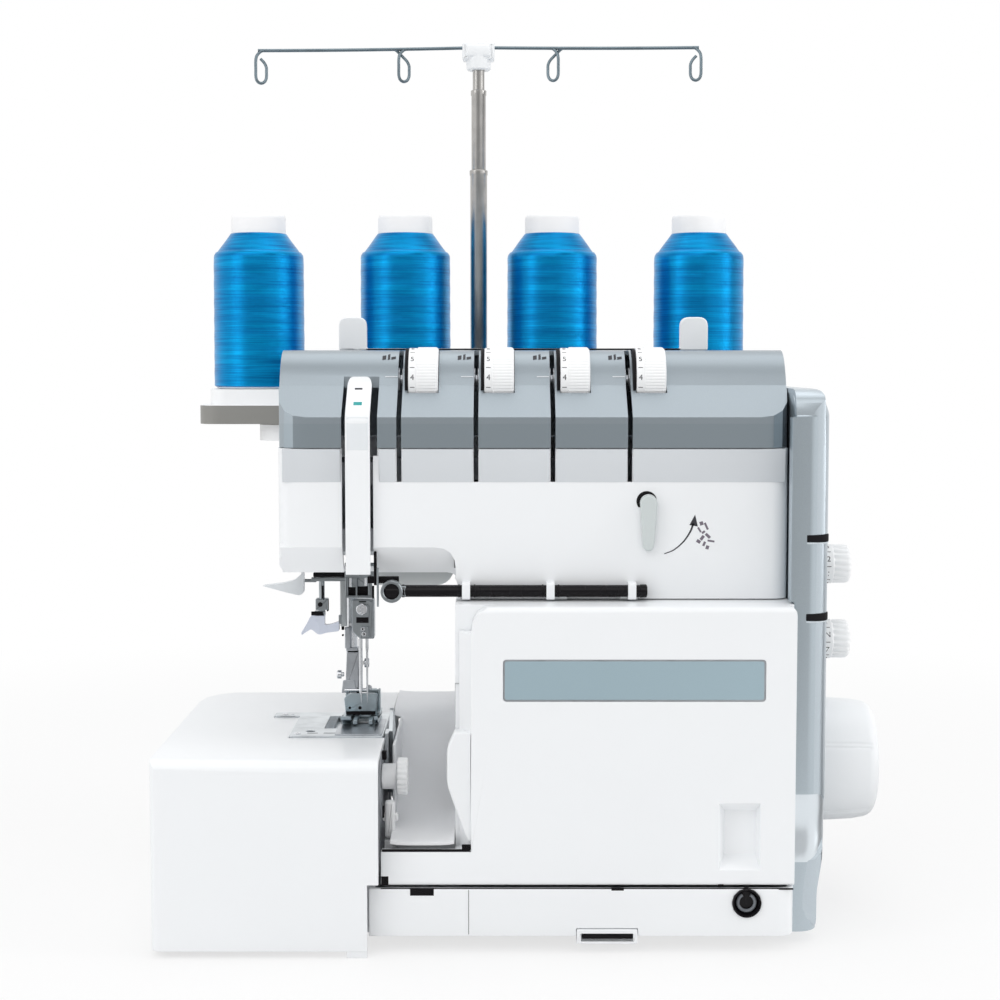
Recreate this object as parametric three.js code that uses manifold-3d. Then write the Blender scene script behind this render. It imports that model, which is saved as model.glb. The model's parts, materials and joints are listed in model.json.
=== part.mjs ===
// Serger (overlock) sewing machine: a hollow moulded body on a die-cast frame, with its sewing head,
// four tension dials, slide-off extension table, drop-down front cover and telescopic thread stand.
// Millimetres. X runs to the machine's right, Y to its back and Z up.

import * as THREE from 'three';
import { mergeVertices } from 'three/addons/utils/BufferGeometryUtils.js';
import Module from 'manifold-3d';

const wasm = await Module();
wasm.setup();

// ---- General fits -------------------------------------------------------------------------------

const wall = 2.5; // moulded covers
const castWall = 3; // thin walls of the castings
const gap = 0.3; // between neighbouring pieces, and round every shaft
const bite = 1; // how far joined volumes reach into each other
const beyond = 2; // how far a cutting volume passes the surface it opens

// ---- Body envelope ------------------------------------------------------------------------------

const bodyRight = 144;
const columnWidth = 166;
const armOverhang = 89;
const columnLeft = bodyRight - columnWidth;
const armLeft = columnLeft - armOverhang;

const footHeight = 8.5;
const baseHeight = 23.5;
const baseTop = footHeight + baseHeight;
const doorGap = 1.4;
const doorBottom = baseTop + doorGap;
const doorHeight = 136.6;
const doorTop = doorBottom + doorHeight;
const armRise = 12.4; // from the door's top to the arm's underside
const armBottom = doorTop + armRise;
const armHeight = 63.2;
const coverSeam = armBottom + armHeight;
const coverHeight = 48.4;
const coverTop = coverSeam + coverHeight;

const baseFront = 8;
const doorFront = 9;
const doorDepth = 12.5;
const columnFront = doorFront + doorDepth + 0.5;
const shelfDepth = 18;
const armFront = columnFront + shelfDepth;
const bodyDepth = 168;
const bodyRear = columnFront + bodyDepth;
const bodyCornerRadius = 9;

// ---- Base ---------------------------------------------------------------------------------------

const baseLeft = -64;
const baseTongueLeft = -140;
const baseTongueInset = 14; // the base is narrower under the extension table
const baseFloor = 3;
const footRadius = 9;
const footInset = 16;
const footSetBack = 38; // the right front foot stands this far behind the base's front
const port = { x: bodyRight - 23.7, z: baseTop - 7, radius: 6.8, recess: 4.6 };
const latch = { left: 37.5, right: 67, bottom: footHeight - 3.5, top: footHeight + 3.5, depth: 7, window: 2 };

// ---- Extension table ----------------------------------------------------------------------------

const tableLeft = -169.3;
const tableRight = -58.8;
const tableStep = 5.5; // the skirt is cut back where it passes the base
const tableStepTop = baseTop + 4;
const tableDepth = 187;
const tableTop = 97;
const tableBottom = 3.4;
const tableEdgeRadius = 7;
const tableFrontCorner = 5;
const tableRearCorner = 32;
const tableFootWidth = 10;

// ---- Sewing bed ---------------------------------------------------------------------------------

const plateTop = tableTop + 1;
const plate = { left: -107.6, right: -59.6, front: 55, rear: 118, thickness: 1.5, tab: 14, tabDepth: 9 };
const bed = { left: -120, front: 30, rear: 125, padInset: 1.5 };
const bedTop = tableTop - wall - gap;
const needle = { x: -71.5, y: 88, radius: 0.8, spacing: 3.2, length: 36 };
const needleHole = { left: -77, right: -66, front: 84, rear: 92 };
const feedDog = { left: -91, right: -79, front: 76, rear: 106, toothPitch: 2.5, toothHeight: 1.1,
  travel: 1.5 };
const loopers = {
  lower_looper: { x: -102, z: plateTop - 46, front: 72, tip: [-80, plateTop - 14] },
  upper_looper: { x: -74, z: plateTop - 50, front: 96, tip: [-92, plateTop - 15] },
};
const looperShaft = { radius: 3, ahead: 6, thickness: 3 };
const lowerBlade = { front: 62, rear: 74, length: 25.8, drop: 0.2 };
const upperBlade = { front: 62, rear: 82, low: 1, high: 12, elbow: 6 };
const knifeThickness = 2;
const knifePivot = { y: 94, z: plateTop - 36, radius: 2.5 };
const knob = { y: 40, z: plateTop - 17.5, hubRadius: 6.4, hubLength: 7.6, radius: 9.5, length: 5.7,
  ribs: 18 };

// ---- Head ---------------------------------------------------------------------------------------

const needleBarRadius = 3.6;
const clamp = { width: 11.5, depth: 10, height: 21 };
const clampBottom = plateTop + 45.5;
const presser = { x: -79, y: 103, radius: 3, lift: 6 };
const foot = { left: -83, right: -63.5, front: 75, rear: 112, sole: 3, shankTop: plateTop + 20 };
const footRest = 1; // the raised teeth and the fabric lift the sole by this much
const lifter = { x: -101, z: armBottom - 1.4, boss: 5, pin: 2.5, reach: 26, post: 3.9, front: 106,
  rear: 112 };
const threader = { x: -93, y: 83, rod: 1.6, low: armBottom - 36.8, high: armBottom + 32.6, collar: 13.3 };

// ---- Covers, channel and dials ------------------------------------------------------------------

const coverProud = 2; // the top cover stands in front of the arm's face
const coverFront = armFront - coverProud;
const coverBand = 15.2; // height of the cover's upright front band
const coverSlope = { run: 18, rise: 15.6 };
const coverCrown = { run: 19, rise: coverHeight - coverBand - coverSlope.rise };
const coverCornerRadius = 15;
const armChamfer = { rise: 13.6, run: 10, right: -22, curve: 11 };

const threadSlot = { first: -50.1, pitch: 38.2, count: 4, width: 2.4, depth: 34, reach: 95 };
const dial = { offset: 4, ring: 4, ribbed: 11, radius: 17, ribs: 26, y: 68, drop: 15 };
const tensionShaftRadius = 2.5;
const tensionDisc = { radius: 6, thickness: 2 };

const strip = { left: -76.6, right: -64.3, proud: 2.2, run: 18 };
const channel = { left: -78.6, right: -63, wideRight: -60.8 };
const guideRod = { y: armFront - 4, z: doorTop + 4.7, radius: 3, left: -54.5, right: 73.3 };
const rodClips = [-16.8, 25, 65.4];
const rodClipWidth = 4;
const rodClamp = { radius: 5.6, length: 5, head: 7 };
const selector = { x: 73.7, z: armBottom + 35.9, hub: 5.4, tip: 3.2, length: 24, thickness: 4.5, pin: 2 };

// ---- Right-hand side ----------------------------------------------------------------------------

const side = {
  thickness: 17.6, front: columnFront + 2, rear: bodyRear - 4, bottom: footHeight - 2.8, top: coverTop - 19,
  corner: 12, taper: 3, round: 9,
};
const scoop = { low: baseTop + 9.5, high: baseTop + 43, depth: 22, corner: 14 };
const waist = { inset: 4.4, low: baseTop - 6, high: baseTop + 18, depth: 40 };
const sideRight = bodyRight + side.thickness;
const sideSlot = { height: 4, depth: 45, length: 12 };
const settingDial = { y: 70, radius: 10.3, length: 17.5, stem: 3, ribs: 16 };
const stitchDialHeight = armBottom + 2.2;
const differentialDialHeight = doorTop - 24.2;
const wheel = { y: 105, z: baseTop + 43.7, radius: 32.8, length: 40, hub: 22, taper: 2.6, shell: 3 };
const mainShaftRadius = 6;
const shaftPulleyRadius = 24;
const motor = { y: wheel.y + 45, z: wheel.z + 74.3, radius: 26, left: 45, shaft: 3, pulley: 8 };
const pulleyWidth = 7;
const belt = { width: 5, thickness: 1.6 };
const switchBox = { y: 152, z: baseTop + 8, depth: 12, height: 20, thickness: 3.6 };
const inlet = { y: switchBox.y + 20, z: switchBox.z, depth: 18, height: 24, rim: 4, body: 10 };

// ---- Thread stand -------------------------------------------------------------------------------

const standX = -12.7;
const standY = bodyRear + 47;
const rearCover = { depth: 15, wing: 11, wingBottom: armBottom + 12.6 };
const vent = { left: 30, right: 100, height: 3, pitch: 7, count: 6, bottom: baseTop + 28 };
const tray = {
  width: 328, depth: 66, bottom: coverSeam + 6.1, height: 11, corner: 14, lip: 10, lipInset: 34,
    bracket: 80, bracketDrop: 24,
};
const trayTop = tray.bottom + tray.height;
const spool = { pitch: 87.6, radius: 26.8, height: 92, chamfer: 12.4, neck: 18, bore: 4.5 };
const spoolCap = { radius: 16.2, height: 11.2 };
const spoolSeat = { inset: 5.5, corner: 12, height: 9.2 };
const spoolPin = { radius: 3.2, height: 66 };
const pole = { outer: [5, 4.25, 3.5], inner: [4.55, 3.8], lengths: [138.9, 46.9, 17.5], overlap: 60 };
const poleRing = { radius: 5.6, height: 4 };
const hub = { width: 19, depth: 12, height: 10, flange: 15 };
const wire = { radius: 1, droop: 3.5, forward: 9, reach: 131.4, inner: 46, loopWidth: 6.6, loopHeight: 17 };
const posts = { left: -78.8, right: 103.8, y: 120, width: 14.8, depth: 6, height: 17.6, plate: 0.9 };

// ---- Shape tools --------------------------------------------------------------------------------

const alongX = new THREE.Vector3(1, 0, 0);
const alongY = new THREE.Vector3(0, 1, 0);
const alongZ = new THREE.Vector3(0, 0, 1);

// A closed outline through corners [u, v, rounding], where rounding is the length cut off each side.
function outline(corners) {
  const shape = new THREE.Shape();
  corners.forEach(([u, v, rounding = 0], index) => {
    const before = corners[(index + corners.length - 1) % corners.length];
    const after = corners[(index + 1) % corners.length];
    const start = new THREE.Vector2(before[0] - u, before[1] - v).setLength(rounding);
    const end = new THREE.Vector2(after[0] - u, after[1] - v).setLength(rounding);
    if (index === 0) shape.moveTo(u + start.x, v + start.y);
    else shape.lineTo(u + start.x, v + start.y);
    if (rounding > 0) shape.quadraticCurveTo(u, v, u + end.x, v + end.y);
  });
  return shape;
}

function circle(u, v, radius) {
  return new THREE.Shape().absarc(u, v, radius, 0, 2 * Math.PI, false);
}

// A rectangle between two corners with the same rounding all round.
function rectangle([u0, u1], [v0, v1], rounding = 0) {
  return outline([[u0, v0, rounding], [u1, v0, rounding], [u1, v1, rounding], [u0, v1, rounding]]);
}

// A wheel outline with moulded grip ribs.
function ribbedCircle(u, v, radius, ribs, depth) {
  const points = Array.from({ length: ribs * 2 }, (_, index) => {
    const angle = (index * Math.PI) / ribs;
    const reach = index % 2 ? radius : radius - depth;
    return new THREE.Vector2(u + reach * Math.cos(angle), v + reach * Math.sin(angle));
  });
  return new THREE.Shape(points);
}

// The strip that lies between two distances to the left of a line of points.
function band(points, near, far) {
  const line = points.map(([u, v]) => new THREE.Vector2(u, v));
  const offset = (distance) => line.map((point, index) => {
    const into = line[Math.max(index, 1)].clone().sub(line[Math.max(index, 1) - 1]).normalize();
    const last = Math.min(index, line.length - 2);
    const out = line[last + 1].clone().sub(line[last]).normalize();
    const mitre = new THREE.Vector2(-into.y - out.y, into.x + out.x).normalize();
    const stretch = 1 / mitre.dot(new THREE.Vector2(-out.y, out.x));
    return point.clone().addScaledVector(mitre, distance * stretch);
  });
  return new THREE.Shape([...offset(near), ...offset(far).reverse()]);
}

// An outline pushed along an axis. On X the outline holds Y and Z, on Y it holds X and Z, on Z X and Y.
function prism(axis, shape, [from, to], segments = 4) {
  const settings = { depth: to - from, bevelEnabled: false, curveSegments: segments };
  const solid = new THREE.ExtrudeGeometry(shape, settings);
  const turn = new THREE.Matrix4();
  if (axis === 'x') turn.makeBasis(alongY, alongZ, alongX).setPosition(from, 0, 0);
  if (axis === 'y') turn.makeBasis(alongX, alongZ, alongY.clone().negate()).setPosition(0, to, 0);
  if (axis === 'z') turn.setPosition(0, 0, from);
  return solid.applyMatrix4(turn);
}

function block([x0, x1], [y0, y1], [z0, z1]) {
  const solid = new THREE.BoxGeometry(x1 - x0, y1 - y0, z1 - z0);
  return solid.translate((x0 + x1) / 2, (y0 + y1) / 2, (z0 + z1) / 2);
}

// A round bar. Its centre is given in the two directions across the axis.
function bar(axis, u, v, radius, span, segments = 6) {
  return prism(axis, circle(u, v, radius), span, segments);
}

// A turned solid: its profile holds [radius, distance along the axis], and closes on itself.
function turned(axis, profile, [x, y, z], sides = 28) {
  const points = [...profile, profile[0]].map(([radius, along]) => new THREE.Vector2(radius, along));
  const solid = new THREE.LatheGeometry(points, sides);
  if (axis === 'x') solid.rotateZ(-Math.PI / 2);
  if (axis === 'z') solid.rotateX(Math.PI / 2);
  return solid.translate(x, y, z);
}

// A block that narrows from one rectangle to another along Y.
function funnel(front, y0, rear, y1) {
  const ring = ({ x, z }, y) => [[x[0], y, z[0]], [x[1], y, z[0]], [x[1], y, z[1]], [x[0], y, z[1]]];
  const corners = [...ring(front, y0), ...ring(rear, y1)].flat();
  const faces = [0, 1, 2, 0, 2, 3, 4, 6, 5, 4, 7, 6];
  for (let side0 = 0; side0 < 4; side0 += 1) {
    const side1 = (side0 + 1) % 4;
    faces.push(side0, side0 + 4, side1 + 4, side0, side1 + 4, side1);
  }
  const solid = new THREE.BufferGeometry();
  solid.setAttribute('position', new THREE.Float32BufferAttribute(corners, 3));
  solid.setIndex(faces);
  return solid;
}

function tube(points, radius, steps, sides = 3) {
  const path = new THREE.CatmullRomCurve3(points.map(([x, y, z]) => new THREE.Vector3(x, y, z)));
  const settings = { steps, bevelEnabled: false, extrudePath: path, curveSegments: sides };
  return new THREE.ExtrudeGeometry(circle(0, 0, radius), settings);
}

// One closed skin: shared corners merged, empty faces dropped and every face pointing out.
function skin(geometry) {
  const bare = new THREE.BufferGeometry();
  bare.setAttribute('position', geometry.getAttribute('position'));
  if (geometry.index) bare.setIndex(geometry.index);
  const welded = mergeVertices(bare, 1e-4);
  const corners = welded.index.array;
  const faces = [];
  for (let at = 0; at < corners.length; at += 3) {
    const [a, b, c] = corners.slice(at, at + 3);
    if (a !== b && b !== c && c !== a) faces.push(a, b, c);
  }
  const position = welded.getAttribute('position');
  const [a, b, c] = [new THREE.Vector3(), new THREE.Vector3(), new THREE.Vector3()];
  let volume = 0;
  for (let at = 0; at < faces.length; at += 3) {
    a.fromBufferAttribute(position, faces[at]);
    b.fromBufferAttribute(position, faces[at + 1]);
    c.fromBufferAttribute(position, faces[at + 2]);
    volume += a.dot(b.cross(c));
  }
  welded.setIndex(volume < 0 ? faces.reverse() : faces);
  return welded;
}

function toManifold(geometry) {
  const welded = skin(geometry);
  return new wasm.Manifold(new wasm.Mesh({
    numProp: 3,
    vertProperties: Float32Array.from(welded.getAttribute('position').array),
    triVerts: Uint32Array.from(welded.index.array),
  }));
}

function combine(operation, first, others) {
  const result = others.reduce((solid, other) => solid[operation](toManifold(other)), toManifold(first));
  const { vertProperties, triVerts } = result.getMesh();
  const geometry = new THREE.BufferGeometry();
  geometry.setAttribute('position', new THREE.BufferAttribute(vertProperties, 3));
  geometry.setIndex(new THREE.BufferAttribute(triVerts, 1));
  return geometry;
}

const join = (first, ...others) => combine('add', first, others);
const cut = (first, ...others) => combine('subtract', first, others);
const common = (first, ...others) => combine('intersect', first, others);

// ---- Finishes -----------------------------------------------------------------------------------

function finish(color, roughness, metalness) {
  return new THREE.MeshStandardMaterial({ color, roughness, metalness, flatShading: true });
}

const whitePlastic = finish(0xf4f6f9, 0.35, 0);
const silverPlastic = finish(0xa6b0b9, 0.4, 0.3);
const darkSilver = finish(0x8e989f, 0.45, 0.3);
const greyPlastic = finish(0xb9bfc2, 0.5, 0);
const blackPlastic = finish(0x18181a, 0.4, 0);
const rubber = finish(0x222224, 0.8, 0);
const steel = finish(0xb8bcc0, 0.3, 0.9);
const chrome = finish(0xd0d3d6, 0.12, 1);
const castAlloy = finish(0x9fa3a6, 0.6, 0.7);
const threadBlue = finish(0x0a78c3, 0.6, 0);

const machine = new THREE.Group();

function piece(name, geometry, material) {
  const mesh = new THREE.Mesh(skin(geometry), material);
  mesh.name = name;
  machine.add(mesh);
}

// ---- Base ---------------------------------------------------------------------------------------

// The base is a pan with a narrower tongue to the left, under the free arm.
function basePan() {
  const plan = (inset) => outline([
    [baseLeft + inset, baseFront + inset],
    [bodyRight - inset, baseFront + inset, bodyCornerRadius - inset],
    [bodyRight - inset, bodyRear - inset, bodyCornerRadius - inset],
    [baseLeft + inset, bodyRear - inset],
    [baseLeft + inset, tableDepth - baseTongueInset - inset],
    [baseTongueLeft + inset, tableDepth - baseTongueInset - inset, bodyCornerRadius - inset],
    [baseTongueLeft + inset, baseTongueInset + inset, bodyCornerRadius - inset],
    [baseLeft + inset, baseTongueInset + inset],
  ]);
  const latchCut = block(
    [latch.left - gap, latch.right + gap],
    [baseFront - beyond, baseFront + latch.depth + gap],
    [footHeight - beyond, latch.top + gap],
  );
  return cut(
    prism('z', plan(0), [footHeight, baseTop]),
    prism('z', plan(castWall), [footHeight + baseFloor, baseTop + beyond]),
    bar('y', port.x, port.z, port.radius + gap, [baseFront - beyond, baseFront + castWall + beyond]),
    latchCut,
  );
}
piece('base_pan', basePan(), whitePlastic);

const feet = {
  foot_front_left: [baseTongueLeft + footInset, baseTongueInset + footInset],
  foot_rear_left: [baseTongueLeft + footInset, tableDepth - baseTongueInset - footInset],
  foot_front_right: [bodyRight - footInset, baseFront + footSetBack],
  foot_rear_right: [bodyRight - footInset, bodyRear - footInset],
};
for (const [name, [x, y]] of Object.entries(feet)) {
  const top = footHeight - gap;
  const profile = [[0, 0], [footRadius - 1, 0], [footRadius, 1.5], [footRadius, top], [0, top]];
  piece(name, turned('z', profile, [x, y, 0], 20), rubber);
}

// A blind round socket in the base's front, with a hexagonal recess.
function basePort() {
  const front = baseFront - 1;
  const body = bar('y', port.x, port.z, port.radius, [front, baseFront + castWall]);
  return cut(body, bar('y', port.x, port.z, port.recess, [front - beyond, front + castWall - bite], 3));
}
piece('base_port', basePort(), blackPlastic);

function baseLatch() {
  const front = baseFront - bite;
  const outer = block([latch.left, latch.right], [front, baseFront + latch.depth], [latch.bottom, latch.top]);
  const window = block(
    [latch.left + latch.window, latch.right - latch.window],
    [front - beyond, front + latch.depth / 2],
    [latch.bottom + latch.window / 2, latch.top - latch.window],
  );
  return cut(outer, window);
}
piece('base_latch', baseLatch(), blackPlastic);

// ---- Castings -----------------------------------------------------------------------------------

const bedRight = plate.right;
const frameFloor = 6;
const bulkheads = [[columnLeft + 22, columnLeft + 32], [bodyRight - 24, bodyRight - 14]];
const bulkheadFront = columnFront + 38;
const bulkheadRear = bodyRear - 10;
const frameTop = coverSeam - 9;
const armWeb = { front: 120, rear: 128, bottom: armBottom + 7.6, rim: 12 };
const windowInset = 12;
const head = { left: -99, right: -60, front: 78, thickness: 12 };

// The free arm's box, open below and at the looper side, with the pad that the needle plate lies on.
function bedCasting() {
  const floor = baseTop + gap;
  const shell = cut(
    block([bed.left, bedRight], [bed.front, bed.rear], [floor, bedTop]),
    block(
      [bed.left + castWall, bedRight - castWall],
      [bed.front + castWall, bed.rear - castWall],
      [floor - beyond, bedTop - castWall],
    ),
  );
  const pad = block(
    [plate.left + bed.padInset, bedRight - gap],
    [plate.front + bed.padInset, plate.rear - bed.padInset],
    [bedTop - bite, plateTop - plate.thickness - gap],
  );
  const knifePin = bar(
    'x', knifePivot.y, knifePivot.z, knifePivot.radius,
    [bedRight - bite, bedRight + 2 * (knifeThickness + gap) + bite],
  );
  const knobBore = bar('x', knob.y, knob.z, knob.hubRadius / 2 + gap,
    [bedRight - castWall - beyond, bedRight + beyond]);
  return cut(
    join(shell, pad, knifePin),
    block([needleHole.left - 1, needleHole.right + 1], [needleHole.front - 6, needleHole.rear + 6],
      [bedTop - castWall - beyond, plateTop]),
    block([feedDog.left - beyond, needleHole.left], [feedDog.front - 3, feedDog.rear + 3],
      [bedTop - castWall - beyond, plateTop]),
    block([bedRight - castWall - beyond, bedRight + beyond], [knifePivot.y + 8, bed.rear - 9],
      [floor + 8, bedTop - 14]),
    knobBore,
    ...Object.values(loopers).map(({ x, z }) => bar('y', x, z, looperShaft.radius + gap,
      [bed.rear - castWall - beyond, bed.rear + beyond])),
  );
}
piece('bed_casting', bedCasting(), castAlloy);

// The main frame: a floor, two bulkheads that carry the shafts, the arm's web and the head's guides.
function frameCasting() {
  const floor = [baseTop + gap, baseTop + gap + frameFloor];
  const [inner, outer] = bulkheads;
  const depth = [bulkheadFront, bulkheadRear];
  const guide = (low) => block([head.left, head.right], [head.front, armWeb.rear],
    [low, low + head.thickness]);
  const hanger = block([lifter.x - 4, lifter.x + 4], [armWeb.front, armWeb.rear],
    [lifter.z - 5, armWeb.bottom + bite]);
  const solid = join(
    block([bedRight + gap, outer[1]], depth, floor),
    block(inner, depth, [floor[1] - bite, frameTop]),
    block(outer, depth, [floor[1] - bite, frameTop]),
    block([lifter.x - 4, outer[0] + bite], [armWeb.front, armWeb.rear], [armWeb.bottom, frameTop]),
    guide(armWeb.bottom),
    guide(frameTop - head.thickness),
    hanger,
    bar('y', lifter.x, lifter.z, lifter.pin, [lifter.front - 1.5, armWeb.front + bite]),
  );
  const window = (left, right) => block([left, right], [armWeb.front - beyond, armWeb.rear + beyond],
    [armWeb.bottom + armWeb.rim, frameTop - armWeb.rim]);
  return cut(
    solid,
    window(inner[1] + windowInset, outer[0] - windowInset),
    window(head.right + windowInset, inner[0] - windowInset),
    bar('x', wheel.y, wheel.z, mainShaftRadius + gap, [inner[0] - beyond, outer[1] + beyond], 12),
    bar('x', motor.y, motor.z, motor.shaft + gap, [outer[0] - beyond, outer[1] + beyond]),
    bar('x', motor.y, motor.z, motor.radius + gap, [inner[0] - beyond, inner[1] + beyond], 12),
    bar('z', needle.x, needle.y, needleBarRadius + gap, [armWeb.bottom - beyond, frameTop + beyond]),
    bar('z', presser.x, presser.y, presser.radius + gap, [armWeb.bottom - beyond, frameTop + beyond]),
    bar('z', threader.x, threader.y, threader.rod + gap, [armWeb.bottom - beyond, frameTop - head.thickness]),
  );
}
piece('frame_casting', frameCasting(), castAlloy);

// ---- Column, arm and rear covers ----------------------------------------------------------------

// The column is a frame round the mechanism, open in front under the door and closed above it.
function columnHousing() {
  const insideX = [columnLeft + wall, bodyRight - wall];
  const floor = baseTop + gap;
  const top = doorTop - gap;
  return cut(
    block([columnLeft, bodyRight], [columnFront, bodyRear], [floor, top]),
    block(insideX, [columnFront + wall, bodyRear + beyond], [floor - beyond, top - wall]),
    block(insideX, [armFront + wall, bodyRear + beyond], [top - wall - beyond, top + beyond]),
    prism('y', rectangle([columnLeft + 12, bodyRight - 12], [floor + 12, top - 12], 8),
      [columnFront - beyond, columnFront + wall + beyond]),
    block([columnLeft - beyond, columnLeft + wall + beyond], [bulkheadFront - 1, bulkheadRear + 1],
      [floor - beyond, floor + 60]),
    bar('x', wheel.y, wheel.z, mainShaftRadius + 1, [bodyRight - wall - beyond, bodyRight + beyond]),
    bar('x', settingDial.y, differentialDialHeight, settingDial.stem + gap,
      [bodyRight - wall - beyond, bodyRight + beyond]),
  );
}
piece('column_housing', columnHousing(), whitePlastic);

const slotCentres = Array.from({ length: threadSlot.count },
  (_, index) => threadSlot.first + index * threadSlot.pitch);

function threadSlotCuts(bottom, top) {
  const half = threadSlot.width / 2;
  return slotCentres.map((x) => block([x - half, x + half], [coverFront - beyond, threadSlot.reach],
    [bottom, top]));
}

// The arm's front housing, with its shelf edge over the door, the take-up channel and the rod's clips.
function armHousing() {
  const floor = doorTop + gap;
  const top = coverSeam - gap;
  const face = outline([
    [armLeft, armBottom, 6], [armChamfer.right, armBottom, 5], [armChamfer.right + 2, floor, 1],
    [bodyRight, floor], [bodyRight, top], [armLeft, top],
  ]);
  const plan = rectangle([armLeft, bodyRight], [armFront, bodyRear + 40], bodyCornerRadius);
  const chamfer = outline([
    [armFront - beyond, armBottom - beyond],
    [armFront + armChamfer.run + beyond, armBottom - beyond],
    [armFront + armChamfer.run, armBottom],
    [armFront, armBottom + armChamfer.rise],
    [armFront - beyond, armBottom + armChamfer.rise],
  ]);
  const shell = cut(
    common(prism('y', face, [armFront, bodyRear]), prism('z', plan, [floor - beyond, top + beyond])),
    block([armLeft + wall, bodyRight - wall], [armFront + wall, bodyRear + beyond],
      [armBottom + wall, top + beyond]),
    block([armChamfer.right + 2 + wall, bodyRight - wall], [armFront + wall, bodyRear + beyond],
      [floor - beyond, top]),
    block([armLeft + wall + 1, head.right + 6], [armFront + 16, armWeb.rear + 4],
      [armBottom - beyond, armBottom + wall + beyond]),
  );
  const chamferEnd = outline([
    [armLeft - beyond, armBottom - beyond],
    [armChamfer.right, armBottom - beyond],
    [armChamfer.right, armBottom + armChamfer.rise, armChamfer.curve],
    [armLeft - beyond, armBottom + armChamfer.rise],
  ]);
  const chamfered = cut(shell, common(
    prism('x', chamfer, [armLeft - beyond, armChamfer.right]),
    prism('y', chamferEnd, [armFront - beyond, armFront + armChamfer.run + 2 * beyond]),
  ));
  const lining = prism('x', outline([
    [armFront + 1.5, armBottom + armChamfer.rise + 2],
    [armFront + wall + 1, armBottom + armChamfer.rise + 2],
    [armFront + armChamfer.run + wall, armBottom + wall],
    [armFront + armChamfer.run + wall, armBottom],
    [armFront + armChamfer.run, armBottom],
    [armFront, armBottom + armChamfer.rise],
  ]), [armLeft + wall - bite, armChamfer.right - 1]);
  const clips = rodClips.map((x) => prism('x', rectangle(
    [guideRod.y - guideRod.radius - 1.2, armFront + bite],
    [guideRod.z - guideRod.radius - 1, guideRod.z + guideRod.radius + 1.4], 1.5,
  ), [x - rodClipWidth / 2, x + rodClipWidth / 2]));
  return cut(
    join(chamfered, lining, ...clips),
    bar('x', guideRod.y, guideRod.z, guideRod.radius + gap, [armChamfer.right, guideRod.right + 10]),
    block([channel.left, channel.right], [armFront - beyond, armFront + 14],
      [armBottom - beyond, top + beyond]),
    block([channel.left, channel.wideRight], [armFront - beyond, armFront + 5],
      [coverSeam - 4, top + beyond]),
    ...threadSlotCuts(coverSeam - 17, top + beyond),
    bar('y', selector.x, selector.z, selector.pin + gap, [armFront - beyond, armFront + wall + beyond]),
    bar('x', settingDial.y, stitchDialHeight, settingDial.stem + gap,
      [bodyRight - wall - beyond, bodyRight + beyond]),
  );
}
piece('arm_housing', armHousing(), whitePlastic);

const coverLine = [
  [coverFront, coverSeam],
  [coverFront, coverSeam + coverBand],
  [coverFront + coverSlope.run, coverSeam + coverBand + coverSlope.rise],
];
const dialZ = coverTop - dial.drop;

// The silver cover's section: an upright band, a slope, and a crown that rounds into the flat top.
function coverSection(inset) {
  const [bottom, bandTop, slopeTop] = coverLine;
  const section = new THREE.Shape();
  section.moveTo(bottom[0] + inset, bottom[1]);
  section.lineTo(bandTop[0] + inset, bandTop[1] - inset * 0.4);
  section.lineTo(slopeTop[0] + inset * 0.7, slopeTop[1] - inset * 0.8);
  section.quadraticCurveTo(
    slopeTop[0] + coverCrown.run * 0.35, coverTop - inset - 1,
    slopeTop[0] + coverCrown.run, coverTop - inset,
  );
  section.lineTo(bodyRear - inset, coverTop - inset);
  section.lineTo(bodyRear - inset, bottom[1]);
  return section;
}

function topCover() {
  const plan = outline([
    [armLeft, coverFront, coverCornerRadius],
    [bodyRight, coverFront, coverCornerRadius],
    [bodyRight, bodyRear, bodyCornerRadius],
    [armLeft, bodyRear, bodyCornerRadius],
  ]);
  const outer = common(
    prism('x', coverSection(0), [armLeft, bodyRight], 6),
    prism('z', plan, [coverSeam, coverTop]),
  );
  const floor = prism('z', rectangle(
    [armLeft + wall, bodyRight - wall], [coverFront + wall, bodyRear - wall], coverCornerRadius - wall,
  ), [coverSeam - beyond, coverSeam + beyond]);
  const inner = common(
    prism('x', coverSection(wall), [armLeft + wall, bodyRight - wall], 6),
    prism('z', rectangle(
      [armLeft + wall, bodyRight - wall], [coverFront + wall, bodyRear - wall], coverCornerRadius - wall,
    ), [coverSeam - beyond, coverTop]),
  );
  const dialCuts = slotCentres.map((x) => {
    const left = x + dial.offset - gap;
    const width = dial.ring + dial.ribbed + 2 * gap;
    return bar('x', dial.y, dialZ, dial.radius + 0.8, [left, left + width], 12);
  });
  return cut(
    outer, inner, floor, ...dialCuts, ...threadSlotCuts(coverSeam - beyond, coverTop + beyond),
    block([channel.left, channel.wideRight], [coverFront - beyond, coverFront + strip.run + 2],
      [coverSeam - beyond, coverTop]),
  );
}
piece('top_cover', topCover(), silverPlastic);

// The needle threads' take-up strip stands proud in its channel, on a rib from the head's guides.
function takeupStrip() {
  const slope = coverSlope.rise / coverSlope.run;
  const path = [
    [coverFront, armBottom + gap],
    [coverFront, coverSeam + coverBand],
    [coverFront + strip.run, coverSeam + coverBand + slope * strip.run],
  ];
  const rib = block([strip.left + 4.5, strip.right - 4.5], [coverFront - gap - bite, head.front - gap],
    [armWeb.bottom, armWeb.bottom + head.thickness]);
  return join(prism('x', band(path, gap, gap + strip.proud), [strip.left, strip.right]), rib);
}
piece('takeup_strip', takeupStrip(), whitePlastic);

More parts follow.
